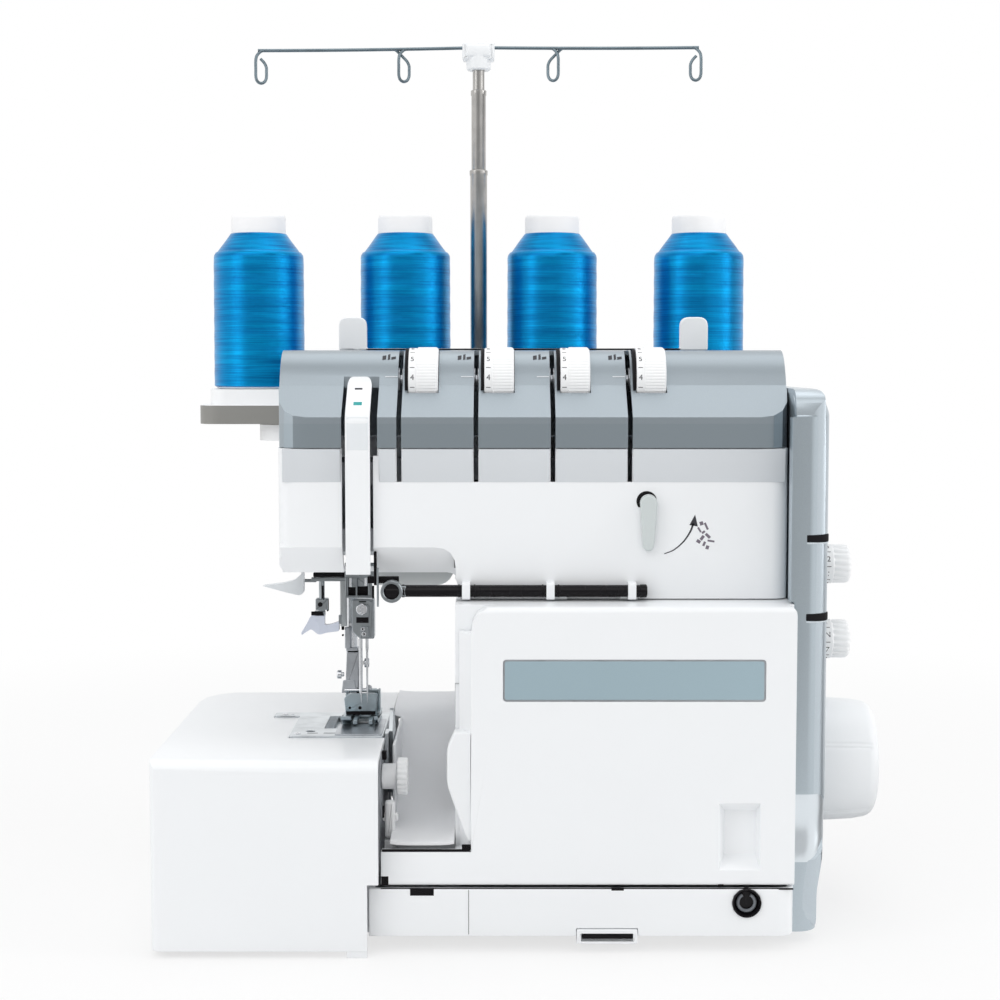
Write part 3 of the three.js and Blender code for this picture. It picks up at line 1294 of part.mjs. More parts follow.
// The guide wire runs through the hub and bends forward; two open eyelets hang from each arm.
function guideWire() {
  const point = (reach) => {
    const share = Math.abs(reach) / wire.reach;
    return [standX + reach, standY - wire.forward * share * share, wireHeight - wire.droop * share];
  };
  const stations = [-1, -0.75, -0.5, -0.25, -0.08, 0, 0.08, 0.25, 0.5, 0.75, 1];
  const arm = tube(stations.map((share) => point(share * wire.reach)), wire.radius, 24);
  const eyelets = [-wire.reach + wire.radius, -wire.inner, wire.inner,
    wire.reach - wire.radius].map((reach) => {
    const [x, y, z] = point(reach);
    const half = wire.loopWidth / 2;
    const drop = (share) => z - wire.loopHeight * share;
    return tube([
      [x, y, z], [x + 0.5, y - 0.6, drop(0.25)], [x + half, y - 1.6, drop(0.55)],
        [x + half * 0.7, y - 2, drop(0.9)],
      [x, y - 2, drop(1)], [x - half * 0.7, y - 2, drop(0.9)], [x - half, y - 2.4, drop(0.6)],
      [x - half * 0.9, y - 3, drop(0.3)],
    ], wire.radius * 0.9, 14);
  });
  return join(arm, ...eyelets);
}
piece('guide_wire', guideWire(), chrome);

// Two thread posts stand on one thin plate that is glued to the top cover.
function threadPosts() {
  const low = coverTop + gap;
  const depth = [posts.y - posts.depth / 2, posts.y + posts.depth / 2];
  const uprights = [posts.left, posts.right].map((x) => prism('y', outline([
    [x - posts.width / 2, low], [x + posts.width / 2, low],
    [x + posts.width / 2, low + posts.height, 5], [x - posts.width / 2, low + posts.height, 5],
  ]), depth, 6));
  return join(block([posts.left, posts.right], depth, [low, low + posts.plate]), ...uprights);
}
piece('thread_posts', threadPosts(), whitePlastic);

// ---- Origin: the centre of the footprint, on the surface that the machine stands on --------------

const extent = new THREE.Box3().setFromObject(machine);
machine.position.set(-(extent.min.x + extent.max.x) / 2, -(extent.min.y + extent.max.y) / 2, -extent.min.z);
machine.updateMatrixWorld(true);

export default machine;
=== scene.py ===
"""Serger overlock machine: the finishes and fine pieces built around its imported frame.

Every length is in metres, X to the machine's right, Y to its back and Z up. The frame brings the
construction; this script adds the moulded, wound, turned and bent surfaces that stand on it, and
the finish of every visible piece.
"""

from __future__ import annotations

import functools
import json
import logging
import math
from dataclasses import dataclass, field
from enum import Enum
from typing import Callable, Sequence

import bpy
import numpy as np
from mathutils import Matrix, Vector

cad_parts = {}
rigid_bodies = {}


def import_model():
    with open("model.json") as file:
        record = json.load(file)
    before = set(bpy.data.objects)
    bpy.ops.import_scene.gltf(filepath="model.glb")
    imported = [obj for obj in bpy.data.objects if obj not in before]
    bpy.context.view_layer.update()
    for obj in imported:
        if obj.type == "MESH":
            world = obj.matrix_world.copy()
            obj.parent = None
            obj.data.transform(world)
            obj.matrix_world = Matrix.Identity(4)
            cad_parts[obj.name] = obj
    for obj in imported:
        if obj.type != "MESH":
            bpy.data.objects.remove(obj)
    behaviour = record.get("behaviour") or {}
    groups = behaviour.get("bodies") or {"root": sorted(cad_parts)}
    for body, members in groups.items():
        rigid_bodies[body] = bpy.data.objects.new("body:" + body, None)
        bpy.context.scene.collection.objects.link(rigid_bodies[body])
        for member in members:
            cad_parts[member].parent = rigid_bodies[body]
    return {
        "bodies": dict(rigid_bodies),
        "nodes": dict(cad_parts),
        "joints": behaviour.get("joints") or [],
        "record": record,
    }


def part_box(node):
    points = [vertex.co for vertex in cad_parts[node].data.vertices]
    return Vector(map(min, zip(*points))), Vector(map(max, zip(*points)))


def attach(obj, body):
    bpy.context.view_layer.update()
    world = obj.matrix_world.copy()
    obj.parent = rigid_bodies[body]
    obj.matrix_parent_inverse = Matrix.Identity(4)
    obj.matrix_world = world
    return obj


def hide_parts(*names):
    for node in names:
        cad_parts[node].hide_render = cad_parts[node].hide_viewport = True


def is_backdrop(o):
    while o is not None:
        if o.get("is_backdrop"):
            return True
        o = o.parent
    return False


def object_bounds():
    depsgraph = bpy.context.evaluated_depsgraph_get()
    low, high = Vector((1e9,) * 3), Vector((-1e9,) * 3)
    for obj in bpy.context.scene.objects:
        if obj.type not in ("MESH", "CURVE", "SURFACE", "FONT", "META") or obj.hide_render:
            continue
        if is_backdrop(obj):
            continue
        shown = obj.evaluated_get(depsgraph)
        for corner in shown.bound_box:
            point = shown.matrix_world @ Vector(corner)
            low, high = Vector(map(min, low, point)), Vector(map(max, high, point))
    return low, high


log = logging.getLogger("serger")
Colour = tuple[float, float, float]
Array = np.ndarray
Rows = Sequence[tuple[float, float]]
Corners = Sequence[tuple[float, float, float]]
MM = 0.001
TAU = 2 * math.pi
FRAME: dict = {}


# ---- Places on the machine ----------------------------------------------------------------------


@dataclass(frozen=True)
class Box:
    """The space between two corners, in metres.

    Args:
        lo: the lowest corner.
        hi: the highest corner.
    """

    lo: Array
    hi: Array

    @classmethod
    def of(cls, node: str) -> Box:
        """The box of a node of the frame."""
        low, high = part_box(node)
        return cls(np.array(low), np.array(high))

    @property
    def centre(self) -> Array:
        """The middle of the box."""
        return (self.lo + self.hi) / 2

    @property
    def size(self) -> Array:
        """The lengths of the box's sides."""
        return self.hi - self.lo

    def end(self, axis: Axis) -> Array:
        """The middle of the box's low end along an axis."""
        return np.where(np.arange(3) == axis.value, self.lo, self.centre)


def datum() -> Array:
    """The machine's own zero: under the table's front, where the needle plate's drawing starts.

    Returns:
        The point from which places on the machine are counted, in the row frame.
    """
    table = Box.of("extension_table")
    return np.array([table.lo[0] + 169.3 * MM, table.lo[1], 0.0])


def at(x: float, y: float, z: float) -> Array:
    """A place on the machine given in millimetres from its datum, as a point in metres."""
    return datum() + np.array([x, y, z]) * MM


# ---- Surfaces worked out as arrays --------------------------------------------------------------


class Axis(Enum):
    """The direction that a turned or pushed-out surface runs along."""

    X = 0
    Y = 1
    Z = 2


def along(axis: Axis, across: Array, distance: Array) -> Array:
    """Points from two coordinates across an axis and one along it.

    Args:
        axis: the direction of the distance.
        across: an (..., 2) array; Y and Z for X, X and Z for Y, X and Y for Z.
        distance: an (...) array along the axis.

    Returns:
        An (..., 3) array of points.
    """
    order = {Axis.X: (2, 0, 1), Axis.Y: (0, 2, 1), Axis.Z: (0, 1, 2)}[axis]
    stacked = np.stack([across[..., 0], across[..., 1], np.broadcast_to(distance, across.shape[:-1])],
        axis=-1)
    return stacked[..., order]


@dataclass
class Surface:
    """A mesh in the making: points, the faces between them, and where wanted a UV for each point.

    Args:
        points: an (n, 3) array in metres.
        quads: an (m, 4) array of corner numbers.
        caps: the many-sided faces that close the ends.
        uv: an (n, 2) array or None.
    """

    points: Array
    quads: Array
    caps: list[Array] = field(default_factory=list)
    uv: Array | None = None

    def __add__(self, other: Surface) -> Surface:
        """Both surfaces as one mesh."""
        shift = len(self.points)
        uv = None if self.uv is None or other.uv is None else np.vstack([self.uv, other.uv])
        return Surface(np.vstack([self.points, other.points]), np.vstack([self.quads, other.quads + shift]),
                       self.caps + [cap + shift for cap in other.caps], uv)

    def mapped(self, place: Callable[..., Array], *given: object) -> Surface:
        """The surface with its points sent through a mapping that keeps right-handedness."""
        return Surface(place(self.points, *given), self.quads, self.caps, self.uv)

    def outward(self) -> Surface:
        """The surface with its faces turned outward, judged by the volume that they enclose."""
        centred = self.points - self.points.mean(axis=0)
        a, b, c, d = (centred[self.quads[:, corner]] for corner in range(4))
        volume = float(np.sum(a * (np.cross(b, c) + np.cross(c, d))))
        for cap in self.caps:
            ring = centred[cap]
            volume += float(np.sum(ring[0] * np.cross(ring[1:-1], ring[2:])))
        if volume >= 0:
            return self
        return Surface(self.points, self.quads[:, ::-1], [cap[::-1] for cap in self.caps], self.uv)


def grid(points: Array, wrap_rows: bool = False, uv: Array | None = None) -> Surface:
    """The quads between neighbouring points of a (rows, columns, 3) array.

    Args:
        points: the array of points.
        wrap_rows: whether the last row joins the first, as the last column does.
        uv: a (rows, columns, 2) array or None.

    Returns:
        The surface, closed round its columns.
    """
    rows, columns = points.shape[:2]
    row = np.arange(rows if wrap_rows else rows - 1)
    r, c = np.meshgrid(row, np.arange(columns), indexing="ij")
    r1, c1 = (r + 1) % rows, (c + 1) % columns
    quads = np.stack([r * columns + c, r * columns + c1, r1 * columns + c1, r1 * columns + c], axis=-1)
    return Surface(points.reshape(-1, 3), quads.reshape(-1, 4),
        uv=None if uv is None else uv.reshape(-1, 2))


def capped(points: Array, uv: Array | None = None) -> Surface:
    """A stack of closed rings joined into one body, with a flat face over each end ring."""
    body = grid(points, uv=uv)
    rows, columns = points.shape[:2]
    first = np.arange(columns)
    body.caps = [first[::-1], (rows - 1) * columns + first]
    return body.outward()


def revolved(axis: Axis, profile: Rows, centre: Array, sides: int = 64,
             ripple: Callable[[Array, Array], Array] | None = None, ring: bool = False) -> Surface:
    """A turned body: radius r and distance d of the profile, swept round the axis.

    The point at turn t is centre + (r cos t, r sin t) across the axis and d along it, where a
    ripple may add a radius that depends on the turn and the distance.

    Args:
        axis: the axis that the profile turns about.
        profile: (radius, distance) pairs in millimetres, from one end to the other.
        centre: the point where distance is zero, in metres.
        sides: how many points one turn has.
        ripple: gives the extra radius in millimetres from arrays of turn and distance.
        ring: whether the profile is a closed section, joined to itself.

    Returns:
        The closed body, with UV as turn and distance shares unless it is a ring.
    """
    radius, distance = np.array(profile, float).T
    r, t = np.meshgrid(radius, np.linspace(0, TAU, sides, endpoint=False), indexing="ij")
    d = np.broadcast_to(distance[:, None], r.shape)
    if ripple is not None:
        r = r + ripple(t, d) * (r > 0)
    points = along(axis, np.stack([r * np.cos(t), r * np.sin(t)], axis=-1), d) * MM + centre
    if ring:
        return grid(points, wrap_rows=True).outward()
    return capped(points, np.stack([t / TAU, (d - distance.min()) / np.ptp(distance)], axis=-1))


def tube(path: Array, radius: float, sides: int = 12) -> Surface:
    """A round tube along a line of points.

    Each ring lies across the path's local direction, and its first spoke is carried along the
    path by taking away, ring after ring, the part that points down the path.

    Args:
        path: an (n, 3) array of points.
        radius: its radius in metres.
        sides: points in a ring.

    Returns:
        The closed tube.
    """
    direction = np.gradient(path, axis=0)
    direction /= np.linalg.norm(direction, axis=1)[:, None]
    spoke = np.array([0.0, 0.0, 1.0]) if abs(direction[0, 2]) < 0.9 else np.array([1.0, 0.0, 0.0])
    spokes = np.empty_like(path)
    for index, ahead in enumerate(direction):
        spoke = spoke - ahead * float(spoke @ ahead)
        spoke = spoke / np.linalg.norm(spoke)
        spokes[index] = spoke
    other = np.cross(direction, spokes)
    turn = np.linspace(0, TAU, sides, endpoint=False)[None, :, None]
    return capped(path[:, None] + radius * (np.cos(turn) * spokes[:, None] + np.sin(turn) * other[:, None]))


def flowing(points: Sequence[Sequence[float]], steps: int = 8) -> Array:
    """A smooth line through points: the uniform Catmull-Rom cubic between each pair of them."""
    p = np.asarray(points, float)
    q = np.vstack([2 * p[0] - p[1], p, 2 * p[-1] - p[-2]])
    a, b, c, d = (part[:, None, :] for part in (q[:-3], q[1:-2], q[2:-1], q[3:]))
    t = np.linspace(0, 1, steps, endpoint=False)[None, :, None]
    line = 0.5 * (2 * b + (c - a) * t + (2 * a - 5 * b + 4 * c - d) * t**2 + (3 * b - a - 3 * c + d) * t**3)
    return np.vstack([line.reshape(-1, p.shape[1]), p[-1]])


def rounded_outline(corners: Corners, steps: int = 5) -> Array:
    """A closed outline through corners (u, v, rounding), each rounded corner a quadratic curve.

    Args:
        corners: running counter-clockwise.
        steps: points on each rounded corner.

    Returns:
        An (n, 2) array of points.
    """
    p, cut = np.split(np.array(corners, float), [2], axis=1)
    back, ahead = np.roll(p, 1, 0) - p, np.roll(p, -1, 0) - p
    start = p + back / np.linalg.norm(back, axis=1)[:, None] * cut
    end = p + ahead / np.linalg.norm(ahead, axis=1)[:, None] * cut
    t = np.linspace(0, 1, steps)[None, :, None]
    curve = (1 - t) ** 2 * start[:, None] + 2 * t * (1 - t) * p[:, None] + t**2 * end[:, None]
    sharp = cut[:, 0] <= 0
    return np.vstack([p[i : i + 1] if sharp[i] else curve[i] for i in range(len(p))])


def rectangle(u: Sequence[float], v: Sequence[float], rounding: float) -> Corners:
    """The corners of a rectangle with one rounding, counter-clockwise."""
    return [(u[0], v[0], rounding), (u[1], v[0], rounding), (u[1], v[1], rounding), (u[0], v[1], rounding)]


def inset(outline: Array, distance: float) -> Array:
    """An outline drawn in by a distance, each point along the mean of its two edges' inward normals."""
    back, ahead = outline - np.roll(outline, 1, 0), np.roll(outline, -1, 0) - outline
    for edge in (back, ahead):
        edge /= np.maximum(np.linalg.norm(edge, axis=1), 1e-12)[:, None]
    mean = back + ahead
    mean /= np.maximum(np.linalg.norm(mean, axis=1), 1e-9)[:, None]
    inward = np.stack([-mean[:, 1], mean[:, 0]], axis=1)
    stretch = 1 / np.maximum(np.abs(np.einsum("ij,ij->i", back, mean)), 0.5)
    area = 0.5 * np.sum(outline[:, 0] * np.roll(outline[:, 1], -1) - np.roll(outline[:, 0], -1) * outline[:,
        1])
    return outline + inward * (distance * math.copysign(1, area)) * stretch[:, None]


def slab(axis: Axis, outline: Array, span: tuple[float, float], edge: float = 0.4 * MM, steps: int = 3,
         centre: Array | None = None) -> Surface:
    """An outline pushed along an axis, with a quarter-round of radius edge at both ends.

    At share t of the round the ring is drawn in by edge (1 - sin t) and lies edge (1 - cos t)
    behind the flat end.

    Args:
        axis: the push direction.
        outline: an (n, 2) array in metres.
        span: start and end along the axis.
        edge: radius of the rounded ends.
        steps: rings on each round.
        centre: a point that the outline and span are counted from.

    Returns:
        The closed body.
    """
    t = np.linspace(0, math.pi / 2, steps + 1)
    draw = edge * (1 - np.sin(t))
    depth = edge * (1 - np.cos(t))
    flat = inset(outline, edge + min(0.3 * MM, edge))
    rings = [flat] + [inset(outline, d) for d in draw] + [inset(outline, d) for d in draw[::-1]] + [flat]
    places = [span[0], *(span[0] + depth), *(span[1] - depth[::-1]), span[1]]
    across = np.stack(rings)
    distance = np.broadcast_to(np.array(places)[:, None], across.shape[:2])
    points = along(axis, across, distance)
    return capped(points if centre is None else points + centre)


def block(lo: Sequence[float], hi: Sequence[float], edge: float = 0.4 * MM, axis: Axis = Axis.Y) -> Surface:
    """A box between two corners whose edges are all rounded by the same radius."""
    first, second = {Axis.X: (1, 2), Axis.Y: (0, 2), Axis.Z: (0, 1)}[axis]
    outline = rounded_outline(rectangle((lo[first], hi[first]), (lo[second], hi[second]), edge * 1.2), 4)
    return slab(axis, outline, (lo[axis.value], hi[axis.value]), edge)


def screw_head(axis: Axis, place: tuple[float, float, float], radius: float, height: float) -> Surface:
    """A cheese-head screw seen from its driven side: a low dome, with a slot sunk across it.

    The head is a turned profile whose top points drop by the slot's depth where they lie within
    half a slot's width of the middle line. Its place and sizes are in millimetres.
    """
    sign, tall, centre = math.copysign(1, height), abs(height), at(*place)
    rows = [(0, 0), (1, 0), (1, 0.75), (0.93, 0.94),
        *((share, 1) for share in (0.85, 0.7, 0.55, 0.4, 0.25, 0.1))]
    head = revolved(axis, [(r * radius, d * height) for r, d in rows], centre, 40)
    offset = np.abs(head.points - centre) / MM
    inside = (offset[:, 1 if axis is Axis.X else 0] < radius * 0.2) & (offset[:, axis.value] > tall * 0.9)
    head.points[inside, axis.value] -= sign * tall * 0.5 * MM
    return head


def glyphs(text: str, height: float) -> Surface:
    """Characters of a height in millimetres as a thin centred body, with z towards the reader."""
    curve = bpy.data.curves.new("glyphs", "FONT")
    curve.body, curve.size, curve.extrude = text, height * 1.4 * MM, 0.03 * MM
    curve.align_x = "CENTER"
    curve.resolution_u = 4
    holder = bpy.data.objects.new("glyphs", curve)
    bpy.context.scene.collection.objects.link(holder)
    bpy.context.view_layer.update()
    mesh = bpy.data.meshes.new_from_object(holder.evaluated_get(bpy.context.evaluated_depsgraph_get()))
    points = np.empty(len(mesh.vertices) * 3)
    mesh.vertices.foreach_get("co", points)
    points = points.reshape(-1, 3)
    points -= (points.min(axis=0) + points.max(axis=0)) / 2
    faces = [np.array(face.vertices) for face in mesh.polygons]
    bpy.data.objects.remove(holder)
    bpy.data.meshes.remove(mesh)
    bpy.data.curves.remove(curve)
    return Surface(points, np.empty((0, 4), int), faces)


def round_drum(centre: Array, radius: float, lift: float) -> Callable[[Array, float], Array]:
    """A mapping that lays flat marks on a drum along X, a lift above its rim, in millimetres.

    A mark's x stays along the axis, its y runs up the front of the drum as the angle y / radius,
    and its z stands out from the rim.
    """

    def place(points: Array, turn: float) -> Array:
        """The points laid on the drum, starting at a turn in radians above its front."""
        angle = turn + points[:, 1] / (radius * MM)
        reach = (radius + lift) * MM + points[:, 2]
        return centre + np.stack([points[:, 0], -reach * np.cos(angle), reach * np.sin(angle)], axis=1)

    return place


def upright(points: Array, origin: Array) -> Array:
    """Flat marks stood up at an origin, facing the front: y goes up and z comes out."""
    return origin + np.stack([points[:, 0], -points[:, 2], points[:, 1]], axis=1)


def flat_mark(outline: Rows | Array) -> Surface:
    """A flat outline (u, v) in millimetres as a body 0.08 mm thick, with z towards the reader."""
    return capped(np.stack([np.column_stack([outline, np.full(len(outline), z)]) * MM for z in (-0.04,
        0.04)]))


def bar_mark(width: float, height: float) -> Rows:
    """The outline of an oblong mark round its middle, in millimetres."""
    u, v = width / 2, height / 2
    return [(-u, -v), (u, -v), (u, v), (-u, v)]


def joined(parts: Sequence[Surface]) -> Surface:
    """Several surfaces as one mesh."""
    whole = parts[0]
    for part in parts[1:]:
        whole = whole + part
    return whole


def drum_marks(labels: str, start: float, drum: Callable[..., Array], height: float, tick: float) -> Surface:
    """Characters set evenly round a drum, with a tick half-way after each.

    Args:
        labels: the characters.
        start: the first one's turn above the front, in degrees.
        drum: the drum's mapping.
        height: of the characters, in millimetres.
        tick: a tick's length in millimetres.

    Returns:
        All characters and ticks as one surface.
    """
    step = math.radians(360 / len(labels))
    laid = []
    for index, label in enumerate(labels):
        turn = math.radians(start) + step * index
        laid += [glyphs(label, height).mapped(drum, turn),
            flat_mark(bar_mark(tick, 0.32)).mapped(drum, turn + step / 2)]
    return joined(laid)


# ---- Shader graphs written as sums --------------------------------------------------------------


@dataclass
class Value:
    """A number that varies over a surface, which takes part in Python sums as a number does.

    Args:
        graph: the material's graph.
        socket: the node socket that carries the number.
    """

    graph: Graph
    socket: bpy.types.NodeSocket

    def _math(self, operation: str, *others: Value | float) -> Value:
        """A Math node of this value and others."""
        inputs = {str(index): value for index, value in enumerate((self, *others))}
        return self.graph.add("ShaderNodeMath", {"operation": operation}, **inputs)

    def __add__(self, other: Value | float) -> Value:
        """Sum."""
        return self._math("ADD", other)

    __radd__ = __add__

    def __mul__(self, other: Value | float) -> Value:
        """Product."""
        return self._math("MULTIPLY", other)

    __rmul__ = __mul__

    def __sub__(self, other: Value | float) -> Value:
        """Difference."""
        return self._math("SUBTRACT", other)

    def __rsub__(self, other: float) -> Value:
        """Difference, this value being taken away."""
        return self.graph.number(other)._math("SUBTRACT", self)

    def __truediv__(self, other: Value | float) -> Value:
        """Quotient."""
        return self._math("DIVIDE", other)

    def root(self) -> Value:
        """The square root."""
        return self._math("SQRT")

    def larger(self, other: Value | float) -> Value:
        """The larger of two."""
        return self._math("MAXIMUM", other)

    def ramp(self, low: float, high: float) -> Value:
        """0 at low and 1 at high, smoothly between them."""
        return self.graph.add("ShaderNodeMapRange", {"interpolation_type": "SMOOTHSTEP"},
                              **{"Value": self, "From Min": low, "From Max": high})


class Graph:
    """A material, or the world, under construction.

    Args:
        name: the material's name.
        world: the world, where the nodes are its own.
    """

    def __init__(self, name: str, world: bpy.types.World | None = None) -> None:
        self.material = world or bpy.data.materials.new(name)
        self.material.use_nodes = True
        self.nodes = self.material.node_tree.nodes
        self.links = self.material.node_tree.links
        self.nodes.clear()
        self.output = self.nodes.new("ShaderNodeOutputWorld" if world else "ShaderNodeOutputMaterial")

    def add(self, kind: str, settings: dict | None = None, out: int | str = 0, **inputs: object) -> Value:
        """Adds a node: its settings are set first, then its sockets get their values or links.

        Args:
            kind: the node's type.
            settings: properties of the node; a ramp's "stops" are (place, colour) pairs.
            out: the output wanted, by number or name.
            inputs: sockets by name, or by number written as text.

        Returns:
            The chosen output.
        """
        node = self.nodes.new(kind)
        for key, setting in (settings or {}).items():
            if key == "stops":
                ramp = node.color_ramp.elements
                while len(ramp) < len(setting):
                    ramp.new(0.5)
                for element, (place, colour) in zip(ramp, setting):
                    element.position, element.color = place, (*colour, 1.0)
            else:
                setattr(node, key, setting)
        for key, given in inputs.items():
            socket = node.inputs[int(key)] if key.isdigit() else node.inputs[key.replace("_", " ")]
            self.feed(socket, given)
        return Value(self, node.outputs[out])

    def feed(self, socket: bpy.types.NodeSocket, given: object) -> None:
        """Links a value to a socket, or sets the socket's own number or colour."""
        if isinstance(given, Value):
            self.links.new(given.socket, socket)
        elif isinstance(given, tuple) and len(given) == 3 and socket.type == "RGBA":
            socket.default_value = (*given, 1.0)
        else:
            socket.default_value = given

    def number(self, value: float) -> Value:
        """A constant that starts a sum."""
        node = self.nodes.new("ShaderNodeValue")
        node.outputs[0].default_value = value
        return Value(self, node.outputs[0])

    def place(self) -> tuple[Value, Value, Value]:
        """The object coordinates X, Y and Z, in metres."""
        point = self.add("ShaderNodeTexCoord", out="Object")
        split = self.add("ShaderNodeSeparateXYZ", Vector=point).socket.node
        return tuple(Value(self, output) for output in split.outputs)

    def banded(self, colour: Value, band: tuple[float, float, Colour] | None,
        depth: float | None = None) -> Value:
        """A colour that gives way to another between two heights, and in front of a depth, in metres; the
        finishes use it for painted shade, painted light and a rim's grey that is partly painted shade.
        """
        if band is None:
            return colour
        low, high, other = band
        _, y, z = self.place()
        inside = z.ramp(low - 0.1 * MM, low + 0.1 * MM) * (1 - z.ramp(high - 0.1 * MM, high + 0.1 * MM))
        return self.mix(inside if depth is None else inside * (1 - y.ramp(depth, depth + 3 * MM)), colour,
            other)

    def where(self, scale: tuple[float, float, float], uv: bool = False) -> Value:
        """Object or UV coordinates, stretched by a scale on each axis."""
        point = self.add("ShaderNodeTexCoord", out="UV" if uv else "Object")
        return self.add("ShaderNodeMapping", Vector=point, Scale=scale)

    def noise(self, scale: tuple[float, float, float] | float, detail: float = 3.0,
        uv: bool = False) -> Value:
        """Cloudy noise around 0.5, with so many features to a metre (or to the whole UV) on each axis."""
        each = scale if isinstance(scale, tuple) else (scale,) * 3
        return self.add("ShaderNodeTexNoise", {"noise_dimensions": "3D"}, Vector=self.where(each, uv),
                        Scale=1.0, Detail=detail, Roughness=0.55)

    def mix(self, share: Value | float, first: Value | Colour, second: Value | Colour) -> Value:
        """A colour between two others."""
        node = self.nodes.new("ShaderNodeMix")
        node.data_type = "RGBA"
        for index, given in ((0, share), (6, first), (7, second)):
            self.feed(node.inputs[index], given)
        return Value(self, node.outputs[2])

    def bump(self, height: Value, distance: float, strength: float) -> Value:
        """A normal from a height between 0 and 1 that stands for a real distance in metres."""
        return self.add("ShaderNodeBump", Height=height, Distance=distance, Strength=strength)

    def finish(self, **inputs: object) -> bpy.types.Material:
        """Closes the graph with a Principled surface of the given sockets, and returns the material."""
        surface = self.add("ShaderNodeBsdfPrincipled", **inputs)
        self.links.new(surface.socket, self.output.inputs["Surface"])
        return self.material


def srgb(red: int, green: int, blue: int) -> Colour:
    """A display colour of 0 to 255 as linear light."""
    shares = np.array([red, green, blue]) / 255
    linear = np.where(shares <= 0.04045, shares / 12.92, ((shares + 0.055) / 1.055) ** 2.4)
    return tuple(float(channel) for channel in linear)


def shade(colour: Colour, factor: float) -> Colour:
    """A colour made lighter or darker by a factor."""
    return tuple(min(1.0, channel * factor) for channel in colour)


# ---- Finishes -----------------------------------------------------------------------------------


@dataclass(frozen=True)
class Moulded:
    """Injection-moulded plastic: an even colour with faint flow marks and a fine spark-eroded grain.

    Args:
        name: the finish's name.
        colour: linear colour.
        roughness: middle roughness.
        grain: depth of the grain in metres.
        grain_scale: grains to a metre.
        flow: how far the colour strays.
        coat: a clear gloss over it.
        shine: specular level.
        band: two heights with another colour between them.
    """

    name: str
    colour: Colour
    roughness: float = 0.38
    grain: float = 0.00001
    grain_scale: float = 2600.0
    flow: float = 0.012
    coat: float = 0.0
    shine: float = 0.5
    band: tuple[float, float, Colour] | None = None

    def make(self) -> bpy.types.Material:
        """The material."""
        g = Graph(self.name)
        cloud = g.noise(18.0, 4.0)
        scuff = g.noise((140.0, 140.0, 40.0), 5.0)
        colour = g.banded(g.mix(cloud, shade(self.colour, 1 - self.flow),
            shade(self.colour, 1 + self.flow)), self.band)
        rough = self.roughness - 0.05 + 0.1 * scuff.ramp(0.3, 0.75)
        return g.finish(
            Base_Color=colour, Roughness=rough,
            Normal=g.bump(g.noise(self.grain_scale, 2.0), self.grain, 0.6),
            **{"Specular IOR Level": self.shine, "Coat Weight": self.coat, "Coat Roughness": 0.12},
        )


@dataclass(frozen=True)
class MetallicPaint:
    """Silver paint: fine metal flakes under a thin clear layer.

    Args:
        name: the finish's name.
        colour: linear colour.
        metal: how metallic it is.
        roughness: middle roughness.
        band: two heights with another colour between them.
        reach: how far back the band goes.
    """

    name: str
    colour: Colour
    metal: float = 0.82
    roughness: float = 0.4
    band: tuple[float, float, Colour] | None = None
    reach: float = -88 * MM

    def make(self) -> bpy.types.Material:
        """The material."""
        g = Graph(self.name)
        flake = g.noise(2600.0, 1.0)
        cloud = g.noise(25.0, 4.0)
        shine = flake.ramp(0.3, 0.75)
        body = g.mix(shine, shade(self.colour, 0.965), shade(self.colour, 1.03))
        colour = g.banded(g.mix(cloud * 0.12, body, shade(self.colour, 0.82)), self.band, self.reach)
        rough = self.roughness + 0.08 * (flake - 0.5)
        return g.finish(
            Base_Color=colour, Roughness=rough, Metallic=self.metal - 0.02 + 0.04 * shine,
            Normal=g.bump(flake, 0.00001, 0.12), **{"Coat Weight": 0.25, "Coat Roughness": 0.18},
        )


@dataclass(frozen=True)
class Metal:
    """Bare or plated metal, brushed along one axis.

    Args:
        name: the finish's name.
        colour: linear colour.
        roughness: middle roughness.
        brush: the brush marks' direction.
        depth: how deep the marks are, in metres.
    """

    name: str
    colour: Colour
    roughness: float = 0.28
    brush: Axis = Axis.Z
    depth: float = 0.000006

    def make(self) -> bpy.types.Material:
        """The material."""
        g = Graph(self.name)
        stretch = [2600.0, 2600.0, 2600.0]
        stretch[self.brush.value] = 60.0
        marks = g.noise(tuple(stretch), 3.0)
        tarnish = g.noise(90.0, 4.0)
        colour = g.mix(tarnish.ramp(0.35, 0.8), self.colour, shade(self.colour, 0.78))
        rough = self.roughness - 0.06 + 0.12 * marks + 0.08 * tarnish
        return g.finish(Base_Color=colour, Roughness=rough, Metallic=1.0,
            Normal=g.bump(marks, self.depth, 0.5))


@dataclass(frozen=True)
class Casting:
    """Sand-textured die-cast alloy with a soft metallic sheen."""

    name: str
    colour: Colour

    def make(self) -> bpy.types.Material:
        """The material."""
        g = Graph(self.name)
        sand = g.noise(900.0, 4.0)
        patch = g.noise(30.0, 3.0)
        colour = g.mix(patch, shade(self.colour, 0.85), shade(self.colour, 1.1))
        return g.finish(Base_Color=colour, Roughness=0.5 + 0.2 * sand, Metallic=0.7,
                        Normal=g.bump(sand, 0.00012, 0.7))


